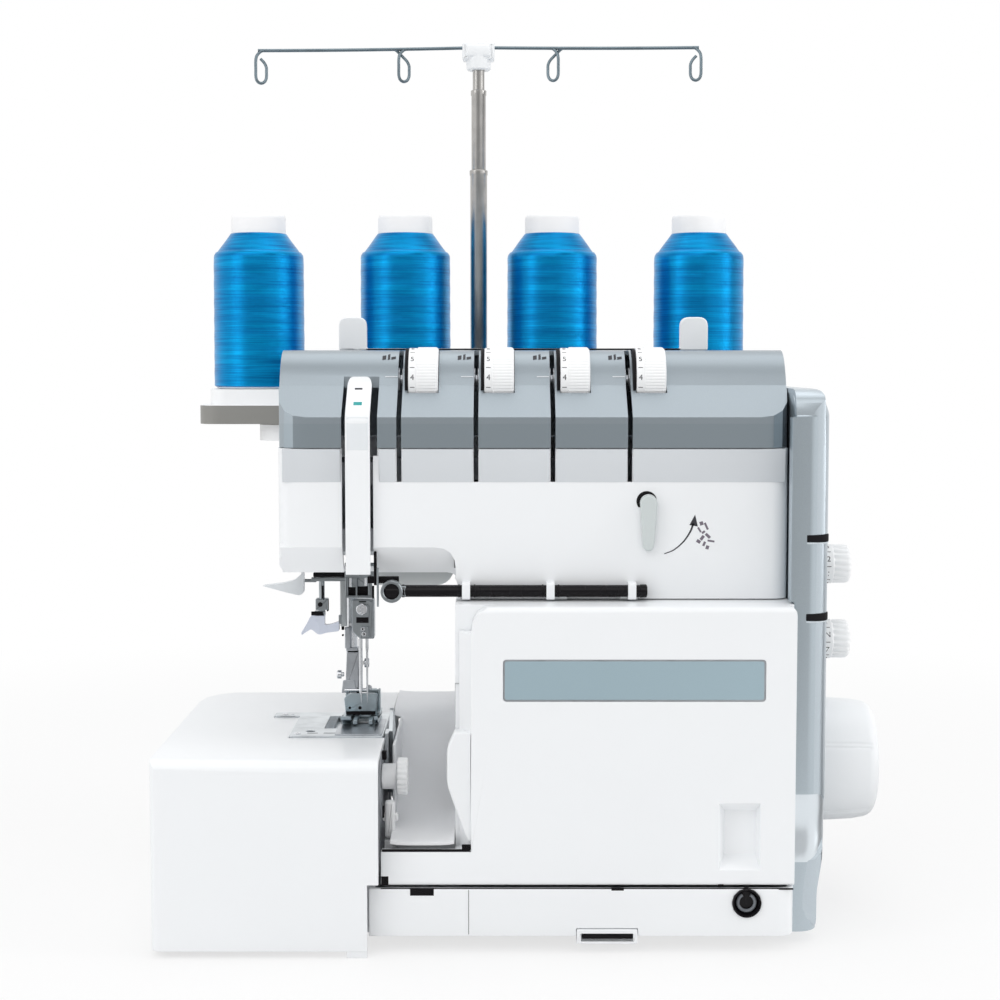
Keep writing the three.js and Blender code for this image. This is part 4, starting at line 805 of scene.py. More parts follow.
@dataclass(frozen=True)
class WoundThread:
    """Polyester thread in close turns: fine lines round the spool, crossed by slow bands of the lay, drawn as
    painted shade between the turns and a painted sheen on their crowns.

    Args:
        name: the finish's name.
        deep: painted shade between the turns.
        bright: painted sheen on the turns' crowns and the lighter bands.
    """

    name: str
    deep: Colour
    bright: Colour

    def make(self) -> bpy.types.Material:
        """The material: lines run round the body, so they follow its UV, turn along u and height along v."""
        g = Graph(self.name)
        turns = g.noise((5.0, 640.0, 1.0), 3.0, uv=True)
        layers = g.noise((4.0, 90.0, 1.0), 3.0, uv=True)
        bands = g.noise((2.2, 14.0, 1.0), 2.0, uv=True)
        # Painted shade and sheen: noise of the turns, layers and bands mixes the shaded deep blue with the
        # highlighted bright blue.
        sheen_share = turns.ramp(0.3, 0.72) * 0.42 + layers.ramp(0.3, 0.7) * 0.3 + bands.ramp(0.35, 0.65) * 0.18
        height = turns * 0.6 + layers * 0.4
        return g.finish(
            Base_Color=g.mix(sheen_share, self.deep, self.bright), Roughness=0.35 - 0.1 * bands, Metallic=0.72,
            Normal=g.bump(height, 0.0002, 0.5), **{"Specular IOR Level": 0.2},
        )


class Finish(Enum):
    """The finishes of the machine, each made once and shared by the pieces that have it."""

    SHELL = Moulded("moulded_white", srgb(245, 247, 249), 0.36, coat=0.08)
    # A whiter copy of the shell white: painted light that brightens the chute and the bed's side panel in the
    # shaded throat beside the bed.
    CHUTE = Moulded("chute_white", srgb(251, 252, 254), 0.5, flow=0.005)
    PALE = Moulded("pale_shell", srgb(232, 236, 239), 0.45, flow=0.01)
    DIAL = Moulded("dial_white", srgb(248, 249, 250), 0.4, flow=0.008)
    CREAM = Moulded("spool_core", srgb(252, 252, 253), 0.45, flow=0.01)
    # The darker colour between 244 and 257.6 mm at the front is painted shade on the cover's upright front
    # band.
    SILVER = MetallicPaint("silver_paint", srgb(161, 171, 178),
        band=(244 * MM, 257.6 * MM, srgb(154, 165, 172)))
    SIDE = MetallicPaint("side_paint", srgb(194, 204, 211), 0.8, 0.34)
    # The lighter colour between 41 and 75 mm at the front is painted light on the scoop, over the scoop's real
    # dip in the shell.
    CAP = MetallicPaint("cap_paint", srgb(184, 195, 202), 0.8, 0.3, (41 * MM, 75 * MM, srgb(222, 229, 234)),
        -103 * MM)
    # A lighter copy of the side paint: a painted highlight along the ledges under the side slots.
    SCOOP = MetallicPaint("scoop_paint", srgb(214, 222, 228), 0.25, 0.45)
    BADGE = MetallicPaint("badge_satin", srgb(173, 196, 206), 0.4, 0.42)
    LEVER = Moulded("lever_grey", srgb(206, 213, 213), 0.4, flow=0.02)
    # A greyer copy of the shell white: painted shade on the band under the silver cover.
    BROW = Moulded("brow_white", srgb(214, 218, 222), 0.42, flow=0.01)
    RING = Moulded("port_ring", srgb(112, 116, 122), 0.3, flow=0.05)
    GREY = Moulded("moulded_grey", srgb(196, 200, 201), 0.5, flow=0.02)
    # The warm grey band from 251 to 262.5 mm is partly the rim's own grey and partly painted shade under the
    # white plate above it.
    TRAY = Moulded("tray_white", srgb(250, 251, 252), 0.42,
        band=(251.0 * MM, 262.5 * MM, srgb(142, 141, 137)))
    HEAD = Metal("machined_steel", srgb(170, 176, 180), 0.26, Axis.Z)
    SOLE = Metal("foot_steel", srgb(172, 184, 190), 0.26, Axis.X)
    BLACK = Moulded("moulded_black", srgb(20, 18, 21), 0.26, grain_scale=1800.0, flow=0.08, shine=0.18)
    # A near black for the seams, seals and dial flanges, and for painted shade in slots, windows, recesses and
    # openings.
    DARK = Moulded("dark_gap", srgb(22, 20, 23), 0.6, flow=0.05, shine=0.15)
    RUBBER = Moulded("foot_rubber", srgb(38, 38, 40), 0.8, grain=0.00005, grain_scale=1200.0, flow=0.1)
    INK = Moulded("ink", srgb(52, 52, 58), 0.55, flow=0.05)
    PRINT = Moulded("soft_print", srgb(120, 112, 124), 0.55, flow=0.3)
    TEAL = Moulded("teal_ink", srgb(30, 160, 160), 0.5, flow=0.05)
    THREADER = Moulded("threader_plastic", srgb(212, 218, 232), 0.28, flow=0.03, coat=0.3)
    STEEL = Metal("brushed_steel", srgb(196, 200, 205), 0.3, Axis.X)
    PLATE = Metal("ground_plate", srgb(220, 225, 228), 0.3, Axis.X, 0.00001)
    BAR = Metal("polished_bar", srgb(232, 234, 237), 0.16, Axis.Z)
    CHROME = Metal("plated_chrome", srgb(222, 225, 228), 0.12, Axis.Z, 0.000002)
    WIRE = Metal("bent_wire", srgb(128, 142, 150), 0.3, Axis.X, 0.000003)
    POLE = Metal("satin_pole", srgb(186, 184, 181), 0.27, Axis.Z)
    ALLOY = Casting("cast_alloy", srgb(196, 199, 203))
    MOTOR = Casting("motor_case", srgb(120, 123, 127))
    # The deeper blue is painted shade and the brighter blue a painted sheen on the thread's own blue.
    THREAD = WoundThread("blue_thread", srgb(0, 78, 150), srgb(0, 182, 244))

    @functools.cache
    def material(self) -> bpy.types.Material:
        """The finish's material, made the first time that it is asked for."""
        return self.value.make()


# ---- Pieces and the frame's own nodes -----------------------------------------------------------


def piece(name: str, shape: Surface | list[Surface], finish: Finish,
          body: str = "machine_body", crease: float = 38.0) -> bpy.types.Object:
    """Makes an object from a surface, dresses it and lets it ride on a body.

    Args:
        name: the piece's name.
        shape: its mesh in the row frame, or the parts of it.
        finish: its finish.
        body: the body that it moves with.
        crease: edges sharper than this many degrees stay crisp.

    Returns:
        The object.
    """
    surface = joined(shape) if isinstance(shape, list) else shape
    mesh = bpy.data.meshes.new(name)
    faces = surface.quads.tolist() + [cap.tolist() for cap in surface.caps]
    mesh.from_pydata(surface.points.tolist(), [], faces)
    if surface.uv is not None:
        corners = np.empty(len(mesh.loops), np.int32)
        mesh.loops.foreach_get("vertex_index", corners)
        uv = surface.uv[corners]
        turn = uv[: 4 * len(surface.quads), 0].reshape(-1, 4)
        turn[np.ptp(turn, axis=1)[:, None] * (1 - turn) > 0.5] += 1
        uv[: 4 * len(surface.quads), 0] = turn.ravel()
        mesh.uv_layers.new(name="UVMap").data.foreach_set("uv", uv.astype(np.float32).ravel())
    mesh.polygons.foreach_set("use_smooth", np.ones(len(mesh.polygons), bool))
    mesh.set_sharp_from_angle(angle=math.radians(crease))
    mesh.materials.append(finish.material())
    made = bpy.data.objects.new(name, mesh)
    bpy.context.scene.collection.objects.link(made)
    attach(made, body)
    log.info("%s: %d faces on %s", name, len(mesh.polygons), body)
    return made


def dress(node: str, finish: Finish, edge: float = 0.0, sharper: float = 32.0) -> None:
    """Gives a node of the frame its finish and, where asked, softly rounded edges.

    The rounding is a stack of modifiers: the loose triangles are welded, flat neighbours merged,
    edges sharper than an angle are bevelled, and large flats keep their normals.

    Args:
        node: the node's name.
        finish: its finish.
        edge: the rounding's width in millimetres, or 0 to leave the edges sharp.
        sharper: edges sharper than this many degrees are rounded.
    """
    shown = FRAME["nodes"][node]
    material = finish.material()
    for slot in shown.material_slots:
        slot.material = material
    mesh = shown.data
    if edge > 0:
        mesh.polygons.foreach_set("use_smooth", np.ones(len(mesh.polygons), bool))
        weld = shown.modifiers.new("weld", "WELD")
        weld.merge_threshold = 0.00002
        flat = shown.modifiers.new("flat", "DECIMATE")
        flat.decimate_type = "DISSOLVE"
        flat.angle_limit = math.radians(0.6)
        soft = shown.modifiers.new("soft", "BEVEL")
        soft.width, soft.segments = edge * MM, 3
        soft.limit_method, soft.angle_limit = "ANGLE", math.radians(sharper)
        soft.harden_normals = True
        soft.use_clamp_overlap = True
        soft.miter_outer = "MITER_ARC"
        even = shown.modifiers.new("even", "WEIGHTED_NORMAL")
        even.mode, even.weight = "FACE_AREA", 100


# ---- Studio -------------------------------------------------------------------------------------


@dataclass
class Studio:
    """The pale room: a floor, an even white surround, soft lamps and the camera.

    Args:
        lens: focal length in millimetres on a sensor of the given width.
        sensor: sensor width in millimetres.
        distance: how far the camera stands in front of the table, in metres.
        height: camera height in metres.
        tilt: how far it looks down, in degrees.
        ambient: strength of the white surround on the machine.
        room: grey of the dark half of the room, behind the camera, as metal shows it.
        right_side: how much of that light is left at the machine's right.
        rays: the kinds of ray told apart: mirrored, seen and passed through.
    """

    lens: float = 66.85
    sensor: float = 36.0
    distance: float = 0.88
    height: float = 0.289
    tilt: float = 4.31
    ambient: float = 0.65
    room: float = 0.48
    right_side: float = 0.3
    rays: tuple[str, str, str] = ("Is Glossy Ray", "Is Camera Ray", "Is Transmission Ray")

    def camera(self) -> None:
        """Places the camera on the machine's datum line."""
        lens = bpy.data.cameras.new("camera")
        lens.lens, lens.sensor_width = self.lens, self.sensor
        lens.clip_start, lens.clip_end = 0.05, 60.0
        camera = bpy.data.objects.new("camera", lens)
        origin = datum()
        camera.location = (origin[0], origin[1] - self.distance, self.height)
        camera.rotation_euler = (math.radians(90 - self.tilt), 0, 0)
        bpy.context.scene.collection.objects.link(camera)
        bpy.context.scene.camera = camera

    def surround(self) -> None:
        """A white world to the eye; on the machine it is dimmer, and darker behind the camera."""
        world = bpy.data.worlds.new("surround")
        bpy.context.scene.world = world
        g = Graph("surround", world)
        split = g.add("ShaderNodeSeparateXYZ",
            Vector=g.add("ShaderNodeTexCoord", out="Generated")).socket.node
        x, y, z = (Value(g, output) for output in split.outputs)
        panel = (y * -0.7 + z * 0.71).ramp(0.72, 0.97) * (1 - (1 - self.right_side) * x.ramp(-0.1, 0.6))
        level = self.walls(x, y)
        above = 1 - 0.45 * z.ramp(0.8, 0.97)
        shown = (level + (1 - level) * (0.15 * z.ramp(0.1, 0.9) + 0.6 * panel)) * above
        gloss, seen, clear = (g.add("ShaderNodeLightPath", out=ray) for ray in self.rays)
        white = seen.larger(clear)
        plain = self.ambient * (0.78 + 0.47 * z.ramp(0.0, 0.9))
        strength = white + (1 - white) * (gloss * shown + (1 - gloss) * plain)
        sky = g.add("ShaderNodeBackground", Color=(1.0, 1.0, 1.0), Strength=strength)
        g.links.new(sky.socket, g.output.inputs["Surface"])

    def walls(self, x: Value, y: Value) -> Value:
        """The room's brightness as metal shows it, level by level direction.

        It is white behind the machine, grey behind the camera, with a bright strip on either side of the front.

        Args:
            x: share of the direction to the right.
            y: share of the direction to the back.

        Returns:
            The brightness, never more than 1, which is white.
        """
        behind = (y - 0.45 * x.ramp(0.3, 0.9)).ramp(-0.5, 0.12)
        right = (x * 0.72 + y * -0.7).ramp(0.85, 0.95)
        left = (x * -0.9 + y * -0.43).ramp(0.86, 0.99)
        dim = self.room * (1 - (1 - self.right_side) * x.ramp(-0.1, 0.6))
        front = dim + (1 - dim) * (right + left)
        return behind + (1 - behind) * front

    def floor(self) -> None:
        """A white floor that shows white to the eye and keeps part of the shadow that falls on it."""
        g = Graph("studio_floor")
        body = g.add("ShaderNodeBsdfPrincipled", Base_Color=g.mix(g.noise(3.0), (0.85,) * 3, (0.87,) * 3),
            Roughness=0.9,
                     **{"Specular IOR Level": 0.0})
        gloss, path, clear = (g.add("ShaderNodeLightPath", out=ray) for ray in self.rays)
        x, y, _ = g.place()
        far = (x * x + y * y + 0.0001).root()
        glow = g.add("ShaderNodeEmission", Color=(1.0, 1.0, 1.0),
            Strength=1 - gloss + gloss * self.walls(x / far, y / far))
        away = (x * x + y * y).ramp(0.12, 0.9)
        share = (path * (0.7 + 0.3 * away)).larger(gloss.larger(clear))
        blend = g.add("ShaderNodeMixShader", **{"0": share, "1": body, "2": glow})
        g.links.new(blend.socket, g.output.inputs["Surface"])
        reach = 12.0
        mesh = bpy.data.meshes.new("studio_floor")
        mesh.from_pydata([(-reach, -reach, 0), (reach, -reach, 0), (reach, reach, 0), (-reach, reach, 0)],
            [], [(0, 1, 2, 3)])
        mesh.materials.append(g.material)
        floor = bpy.data.objects.new("studio_floor", mesh)
        bpy.context.scene.collection.objects.link(floor)
        floor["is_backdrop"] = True

    def lamp(self, name: str, place: tuple[float, float, float], size: tuple[float, float],
        power: float) -> None:
        """A soft box aimed at the machine's middle."""
        light = bpy.data.lights.new(name, "AREA")
        light.shape, light.size, light.size_y, light.energy = "RECTANGLE", size[0], size[1], power
        lamp = bpy.data.objects.new(name, light)
        lamp.location = place
        aim = np.array([0.0, 0.0, 0.2]) - np.array(place)
        yaw = math.atan2(aim[1], aim[0]) - math.pi / 2
        pitch = math.atan2(aim[2], math.hypot(aim[0], aim[1]))
        lamp.rotation_euler = (math.pi / 2 + pitch, 0, yaw)
        bpy.context.scene.collection.objects.link(lamp)

    def build(self) -> None:
        """Sets up the whole room."""
        scene = bpy.context.scene
        scene.view_settings.view_transform = "Standard"
        self.camera()
        self.surround()
        self.floor()
        self.lamp("soft_box_left", (-1.4, -1.0, 0.95), (0.7, 1.8), 5.6)
        self.lamp("soft_box_right", (1.5, -0.35, 0.7), (0.4, 1.6), 6.4)
        self.lamp("soft_box_top", (0.1, 0.2, 1.9), (1.6, 1.2), 6.8)
        self.lamp("soft_box_front", (-0.25, -1.5, 1.5), (1.6, 1.2), 5.3)


# ---- Shells and castings of the frame -----------------------------------------------------------


@dataclass
class Shells:
    """The moulded shells, castings and hidden pieces that keep their shape from the frame.

    Args:
        soft: for each finish its nodes, with the width of their rounded edges in millimetres.
    """

    soft: dict[Finish, dict[str, float]] = field(default_factory=lambda: {
        Finish.SHELL: {"base_pan": 0.9, "base_latch": 0.3, "column_housing": 0.8, "arm_housing": 0.8,
            "rear_cover": 0, "front_cover": 0.8, "extension_table": 0.8, "thread_posts": 0.8},
        Finish.RUBBER: {"foot_front_left": 0.6, "foot_front_right": 0.6, "foot_rear_left": 0.6,
            "foot_rear_right": 0.6, "drive_belt": 0.2},
        Finish.ALLOY: {"bed_casting": 0.7, "frame_casting": 0.8},
        Finish.SILVER: {"top_cover": 0.7},
        Finish.STEEL: {"cover_hinge_bar": 0.2, "tension_shaft": 0.2, "main_shaft": 0.4, "motor_rotor": 0.2},
        Finish.PLATE: {"needle_plate": 0.25, "feed_dog": 0, "lower_knife": 0.1, "upper_knife": 0.2},
        Finish.CHROME: {"lower_looper": 0.3, "upper_looper": 0.3},
        Finish.SIDE: {"side_cover": 0.8},
        Finish.MOTOR: {"motor": 0.8},
        Finish.BLACK: {"power_switch": 0.3, "power_inlet": 0.3},
        Finish.TRAY: {"spool_tray": 1},
        Finish.PALE: {"presser_lifter": 0.7},
    })

    def build(self) -> None:
        """Gives every listed node its finish; the silver cover keeps its crease sharp."""
        for finish, nodes in self.soft.items():
            for node, edge in nodes.items():
                dress(node, finish, edge, 20 if node == "top_cover" else 32)


# ---- Thread stand -------------------------------------------------------------------------------


@dataclass
class SpoolSet:
    """Four wound spools: a moulded core with a rounded cap, and thread in close crossed turns.

    Args:
        radius: of the wound thread, in millimetres.
        neck: radius of the thread where it meets the cap.
        cap: radius of the core's cap.
        shoulder: height of the straight winding above the spool's foot.
        top: height where the winding ends.
        lay: height of one layer's turn.
    """

    radius: float = 26.8
    neck: float = 16.5
    cap: float = 16.2
    shoulder: float = 79.6
    top: float = 92.0
    lay: float = 21.0

    def winding(self, centre: Array, seed: float) -> Surface:
        """The thread: a turned profile whose radius swells and sinks as crossed layers do.

        The ripple is 0.09 mm of sin(5 t + k z) times sin(5 t - k z), the meeting of two helices,
        with k a turn for each layer's height, plus 0.05 mm of a slow wave along the spool.
        """
        r, shoulder = self.radius, self.shoulder
        profile = [(r - 3, 0.9), (r - 0.9, 1.0)]
        profile += [(r + 0.25 * (1 - z / shoulder) - 0.2, z) for z in np.linspace(1.6, shoulder - 2.2, 96)]
        profile += [(r - 0.45, shoulder - 0.6), (r - 1.5, shoulder + 1.0)]
        share = np.linspace(0.12, 1, 14)
        profile += zip(r - 1.5 - (r - 1.5 - self.neck) * share,
            shoulder + (self.top - shoulder - 0.3) * share)
        profile += [(self.neck - 1.2, self.top)]
        pitch = TAU / self.lay

        def layers(turn: Array, height: Array) -> Array:
            """The extra radius of the crossed layers."""
            crossed = np.sin(5 * turn + pitch * height + seed) * np.sin(5 * turn - pitch * height)
            return 0.09 * crossed + 0.05 * np.sin(pitch * 2 * height + seed)

        return revolved(Axis.Z, profile, centre, 128, layers)

    def core(self, centre: Array) -> Surface:
        """The moulded core: a foot rim under the thread and a hollow cap with a rolled edge above it."""
        r, cap, top = self.radius, self.cap, self.top
        return revolved(Axis.Z, [
            (6, 0), (r - 1.6, 0), (r - 1.2, 0.4), (r - 1.4, 1.1), (14, 1.4), (14, top - 2),
            (cap, top - 1.5),
            (cap, top + 8.6), (cap - 0.35, top + 10), (cap - 1.2, top + 10.8), (cap - 2.4, top + 11.2),
            (8.4, top + 11.2), (7.6, top + 10.4), (7.4, top + 2), (5, top + 1), (5, 1),
        ], centre, 72, ring=True)

    def build(self) -> None:
        """Makes thread and core for every spool."""
        for number in range(1, 5):
            node = f"spool_{number}"
            foot = Box.of(node).end(Axis.Z)
            thread = piece(f"{node}_thread", self.winding(foot, 1.7 * number), Finish.THREAD,
                node, 50)
            piece(f"{node}_core", self.core(foot), Finish.CREAM, node)
            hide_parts(node)


@dataclass
class ThreadStand:
    """The telescopic pole, its rings, the white hub and the bent wires with their eyelets.

    Args:
        wire: radius of the cross wires.
        loop: radius of the eyelets' wire.
        reach: how far the wires' ends lie from the pole.
        inner: how far the inner eyelets lie from it.
        droop: how far the wires' ends hang.
        forward: how far the ends lean to the front.
    """

    wire: float = 1.0 * MM
    loop: float = 0.9 * MM
    reach: float = 129.6 * MM
    inner: float = 46 * MM
    droop: float = 3.2 * MM
    forward: float = 9 * MM

    def tubes(self) -> None:
        """Three drawn tubes, each with a rolled mouth and a bead below it; the last is closed at its top."""
        for node, body, r, bore in (("pole_lower", "machine_body", 5.0, 4.55),
            ("pole_middle", "pole_top", 4.25, 3.8),
                                    ("pole_upper", "pole_top", 3.5, 0.0)):
            box = Box.of(node)
            bead, _, high = box.size * (0.5, 0.5, 1) / MM
            if bore == 0:
                profile = [(0, 0), (r - 0.3, 0), (r, 0.4), (r, high - 0.3), (r - 0.4, high), (0, high)]
            else:
                profile = [(bore, 0), (r - 0.2, 0), (r, 0.3), (r, high - 3.4), (bead - 0.25, high - 2.9),
                           (bead - 0.2, high - 0.5), (bead - 0.6, high), (bore, high)]
            drawn = revolved(Axis.Z, profile, box.end(Axis.Z), 48, ring=bore > 0)
            made = piece(f"{node}_tube", drawn, Finish.POLE, body)
            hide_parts(node)

    def point(self, reach: Array) -> Array:
        """Places on the cross wire: it hangs in proportion to the reach and leans forward with its square."""
        share = np.abs(reach) / self.reach
        hub = Box.of("guide_hub")
        start = np.array([hub.centre[0], hub.centre[1], hub.hi[2] - 2.5 * MM])
        lean = np.where(reach < 0, self.droop, self.droop * 0.45)
        return start + np.stack([reach, -self.forward * share**2, -lean * share], axis=-1)

    def eyelet(self, reach: float, end: bool) -> Surface:
        """A long loop that hangs from the wire: its leg drops, turns round the foot and leans back up.

        Args:
            reach: where it hangs.
            end: whether the wire ends there, so that the loop stays open at its shoulder.
        """
        bends = [
            (-3.6, 0, 0.1), (-1.6, 0, -0.6), (0.5, -0.7, -3), (1.15, -1.1, -6), (1.2, -1.1, -11),
            (1.15, -1.1, -15.4),
            (0.3, -1, -17.9), (-1.6, -0.6, -19), (-3.7, -0.2, -18.2), (-4.8, 0.2, -15.9),
            (-4.9, 0.5, -12.4),
            (-4.8, 0.7, -9.6), (-3.6, 0.9, -7), (-1.4, 1.1, -4.6),
        ]
        if not end:
            bends += [(0.9, 1.1, -2.3), (2.6, 0.7, -0.7), (4.4, 0, 0.1)]
        line = flowing(np.array(bends, float) * (math.copysign(1, reach), 1, 1), 7)
        return tube(self.point(np.array([reach]))[0] + line * MM, self.loop, 10)

    def build(self) -> None:
        """Tubes, wires, eyelets and the hub's socket rings."""
        self.tubes()
        wires = [tube(self.point(np.linspace(-self.reach, self.reach, 121)), self.wire)]
        wires += [self.eyelet(reach, abs(reach) == self.reach) for reach in (-self.reach, -self.inner,
            self.inner, self.reach)]
        made = piece("guide_wire_bent", wires, Finish.WIRE, "thread_guide", 50)
        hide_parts("guide_wire")
        box = Box.of("guide_hub")
        tall = box.size[2] / MM
        socket = revolved(Axis.Z, [(3.75, 0), (6.4, 0), (7.2, 0.8), (7.4, 5.6), (7.4, tall - 7),
            (3.75, tall - 7)],
                          box.end(Axis.Z), ring=True)
        x, y, top = box.centre[0], box.centre[1], box.lo[2] + tall * MM
        head = block((box.lo[0], y - 6 * MM, top - 10.4 * MM), (box.hi[0], y + 6 * MM, top), 1.3 * MM)
        half = 7.4 * MM
        web = block((x - half, y - half, top - 9 * MM), (x + half, y + half, top - 1.4 * MM), 1.6 * MM,
            Axis.Z)
        made = piece("guide_hub_head", [socket, head, web], Finish.SHELL, "thread_guide")
        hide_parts("guide_hub")


# ---- Dials, knobs and handwheel -----------------------------------------------------------------


@dataclass
class TensionDials:
    """Four tension dials: a plain ring with numbers and ticks beside a finely ribbed grip.

    Args:
        radius: of the number ring, in millimetres.
        grip: radius over the ribs.
        ring: width of the number ring.
        ribs: ribs round the grip.
        depth: how deep the grooves between them are.
        number_height: of the figures.
    """

    radius: float = 16.1
    grip: float = 16.5
    ring: float = 4.0
    ribs: int = 66
    depth: float = 0.2
    number_height: float = 2.9

    def wheel(self, box: Box) -> Surface:
        """The dial as one turned body; the ripple cuts a groove between each two ribs of the grip.

        A groove's depth is the rib depth times the share (1 + cos(ribs t)) / 2, squared, over the
        grip's width only.
        """
        right = box.size[0] / MM
        r, grip, ring, bore = self.radius, self.grip, self.ring, 3.0
        profile = [
            (bore, 0), (r - 0.5, 0), (r, 0.35), (r, ring - 0.3), (r - 0.2, ring), (grip - 0.3, ring + 0.35),
            (grip, ring + 0.8),
            (grip, right - 1.4), (grip - 0.3, right - 0.7), (grip - 1.1, right), (bore, right),
        ]

        def grooves(turn: Array, distance: Array) -> Array:
            """How far a groove takes the rim in."""
            inside = (distance > ring + 0.5) & (distance < right - 0.6)
            return -self.depth * ((1 + np.cos(self.ribs * turn)) / 2) ** 2 * inside

        return revolved(Axis.X, profile, box.end(Axis.X), self.ribs * 6, grooves)

    def build(self) -> None:
        """Dial, the figures 0 to 9 round its ring and the dark flange at its left, for each thread."""
        for number in range(1, 5):
            node = f"tension_dial_{number}"
            box = Box.of(node)
            start = box.end(Axis.X)
            wheel = piece(f"{node}_wheel", self.wheel(box), Finish.DIAL, node, 30)
            drum = round_drum(start + (2.05 * MM, 0, 0), self.radius, 0.02)
            piece(f"{node}_marks", drum_marks("0123456789", -139, drum, self.number_height, 2.3),
                Finish.INK, body=node)
            r = self.radius - 0.15
            flange = [(3, -1.7), (r - 0.2, -1.7), (r, -1.5), (r, -0.5), (r - 0.2, -0.3), (3, -0.3)]
            piece(f"{node}_flange", revolved(Axis.X, flange, start, 96, ring=True), Finish.DARK,
                node)
            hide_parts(node)


@dataclass
class SettingDials:
    """The stitch-length and differential dials at the side: a numbered collar and a fluted grip.

    Args:
        collar: radius of the numbered collar, in millimetres.
        grip: radius of the grip.
        split: where the grip begins.
        flutes: flutes round the grip.
    """

    collar: float = 10.1
    grip: float = 9.9
    split: float = 8.8
    flutes: int = 18

    def build(self) -> None:
        """Both dials."""
        side = Box.of("side_cover").hi[0]
        collar, grip, split = self.collar, self.grip, self.split
        for node, labels in (("stitch_length_dial", "1234"), ("differential_dial", "7N12")):
            box = Box.of(node)
            start = np.array([side, *box.centre[1:]])
            end = (box.hi[0] - side) / MM
            profile = [
                (0, -1), (8, -1), (8, 0.2), (collar - 0.3, 0.3), (collar, 0.7), (collar, split - 0.5),
                (collar - 0.5, split),
                (grip, split + 0.6), (grip, end - 2.2), (grip - 0.35, end - 1.2), (grip - 1.1, end - 0.4),
                (grip - 2.2, end), (6, end), (5.4, end - 0.5), (0, end - 0.5),
            ]

            def flute(turn: Array, distance: Array) -> Array:
                """Scallops 0.7 mm deep along the grip: the fourth power of a cosine of the turn."""
                inside = (distance > split + 0.3) & (distance < end - 0.3)
                return -0.7 * np.cos(self.flutes / 2 * turn) ** 4 * inside

            fluted = revolved(Axis.X, profile, start, self.flutes * 12, flute)
            dial = piece(f"{node}_grip", fluted, Finish.DIAL, node, 34)
            drum = round_drum(start + (5.9 * MM, 0, 0), collar, 0.04)
            piece(f"{node}_marks", drum_marks(labels * 2, -25, drum, 2.8, 2.4), Finish.INK, body=node)
            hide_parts(node)


@dataclass
class Handwheel:
    """The handwheel: a domed plastic drum with pairs of fine grooves along it.

    Args:
        radius: over the rim, in millimetres.
        crown: how far the rim is rounded along the axis.
    """

    radius: float = 32.8
    crown: float = 9.0

    def build(self) -> None:
        """The drum, hollow towards the machine."""
        box = Box.of("handwheel")
        r, length = self.radius, box.size[0] / MM
        domed = length - self.crown
        edge = np.linspace(0, math.pi / 2, 10)
        profile = [(0, length - 5), (20, length - 6), (r - 5, length - 11), (r - 3.2, 2), (r - 3.2, 0.4)]
        profile += [(r - 2.6, 0), (r - 0.5, 0), (r, 0.6), (r - 0.2, 12), (r - 0.9, domed - 5)]
        profile += zip(r - 1.6 - 5.4 * (1 - np.cos(edge)), domed - 1.6 + (self.crown - 1.4) * np.sin(edge))
        profile += [(22, length - 2.2), (15, length - 1.2), (8, length - 0.4), (0, length)]

        def grooves(turn: Array, distance: Array) -> Array:
            """Five pairs of shallow grooves along the rim, each a narrow bell of the turn."""
            first, second = (np.abs(np.angle(np.exp(1j * (turn * 5 - at_turn)))) for at_turn in (0.9, 1.25))
            outer = (distance > 1) & (distance < length - 7)
            return -0.5 * np.exp(-((np.minimum(first, second) / 0.1) ** 2)) * outer

        wheel = revolved(Axis.X, profile, box.end(Axis.X), 360, grooves)
        made = piece("handwheel_drum", wheel, Finish.SHELL, "drive_shaft", 40)
        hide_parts("handwheel")


@dataclass
class CuttingKnob:
    """The cutting-width knob by the bed: a smooth neck and a coarse knurled head.

    Args:
        ribs: ribs round the head.
    """

    ribs: int = 20

    def build(self) -> None:
        """The knob with its screw end."""
        box = Box.of("cutting_width_knob")
        end = box.size[0] / MM
        head = end - 5.7
        profile = [
            (0, 0), (3.1, 0), (3.1, 3.9), (6, 4.1), (6.4, 4.6), (6.4, head - 0.4), (8.6, head),
            (9.4, head + 0.6),
            (9.4, end - 0.9), (8.7, end - 0.2), (7.6, end), (4, end), (3.6, end - 0.8), (0, end - 0.8),
        ]

        def knurl(turn: Array, distance: Array) -> Array:
            """Grooves 0.9 mm deep round the head: the fourth power of a cosine of the turn."""
            return -0.9 * np.cos(self.ribs / 2 * turn) ** 4 * (distance > head - 0.1) * (distance < end - 0.1)

        knob = revolved(Axis.X, profile, box.end(Axis.X), self.ribs * 10, knurl)
        made = piece("cutting_width_knob_grip", knob, Finish.DIAL, "cutting_width_knob", 34)
        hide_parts("cutting_width_knob")


# ---- Sewing head --------------------------------------------------------------------------------


def solid(lo: tuple[float, float, float], hi: tuple[float, float, float], edge: float = 0.3,
    axis: Axis = Axis.Y) -> Surface:
    """A box between two corners in millimetres from the datum, with rounded edges."""
    return block(at(*lo), at(*hi), edge * MM, axis)


def plate(corners: Corners, front: float, back: float, edge: float = 0.25, axis: Axis = Axis.Y,
    steps: int = 5) -> Surface:
    """A plate across an axis: its rounded outline and two depths, in millimetres from the datum."""
    return slab(axis, rounded_outline(corners, steps) * MM, (front * MM, back * MM), edge * MM,
        centre=datum())


def pin(axis: Axis, place: tuple[float, float, float], radius: float, length: float) -> Surface:
    """A round pin with chamfered ends, from a place in millimetres along an axis."""
    cut = min(0.3, radius * 0.3)
    step = math.copysign(cut, length)
    profile = [(0, 0), (radius - cut, 0), (radius, step), (radius, length - step), (radius - cut, length),
        (0, length)]
    return revolved(axis, profile, at(*place), 32)


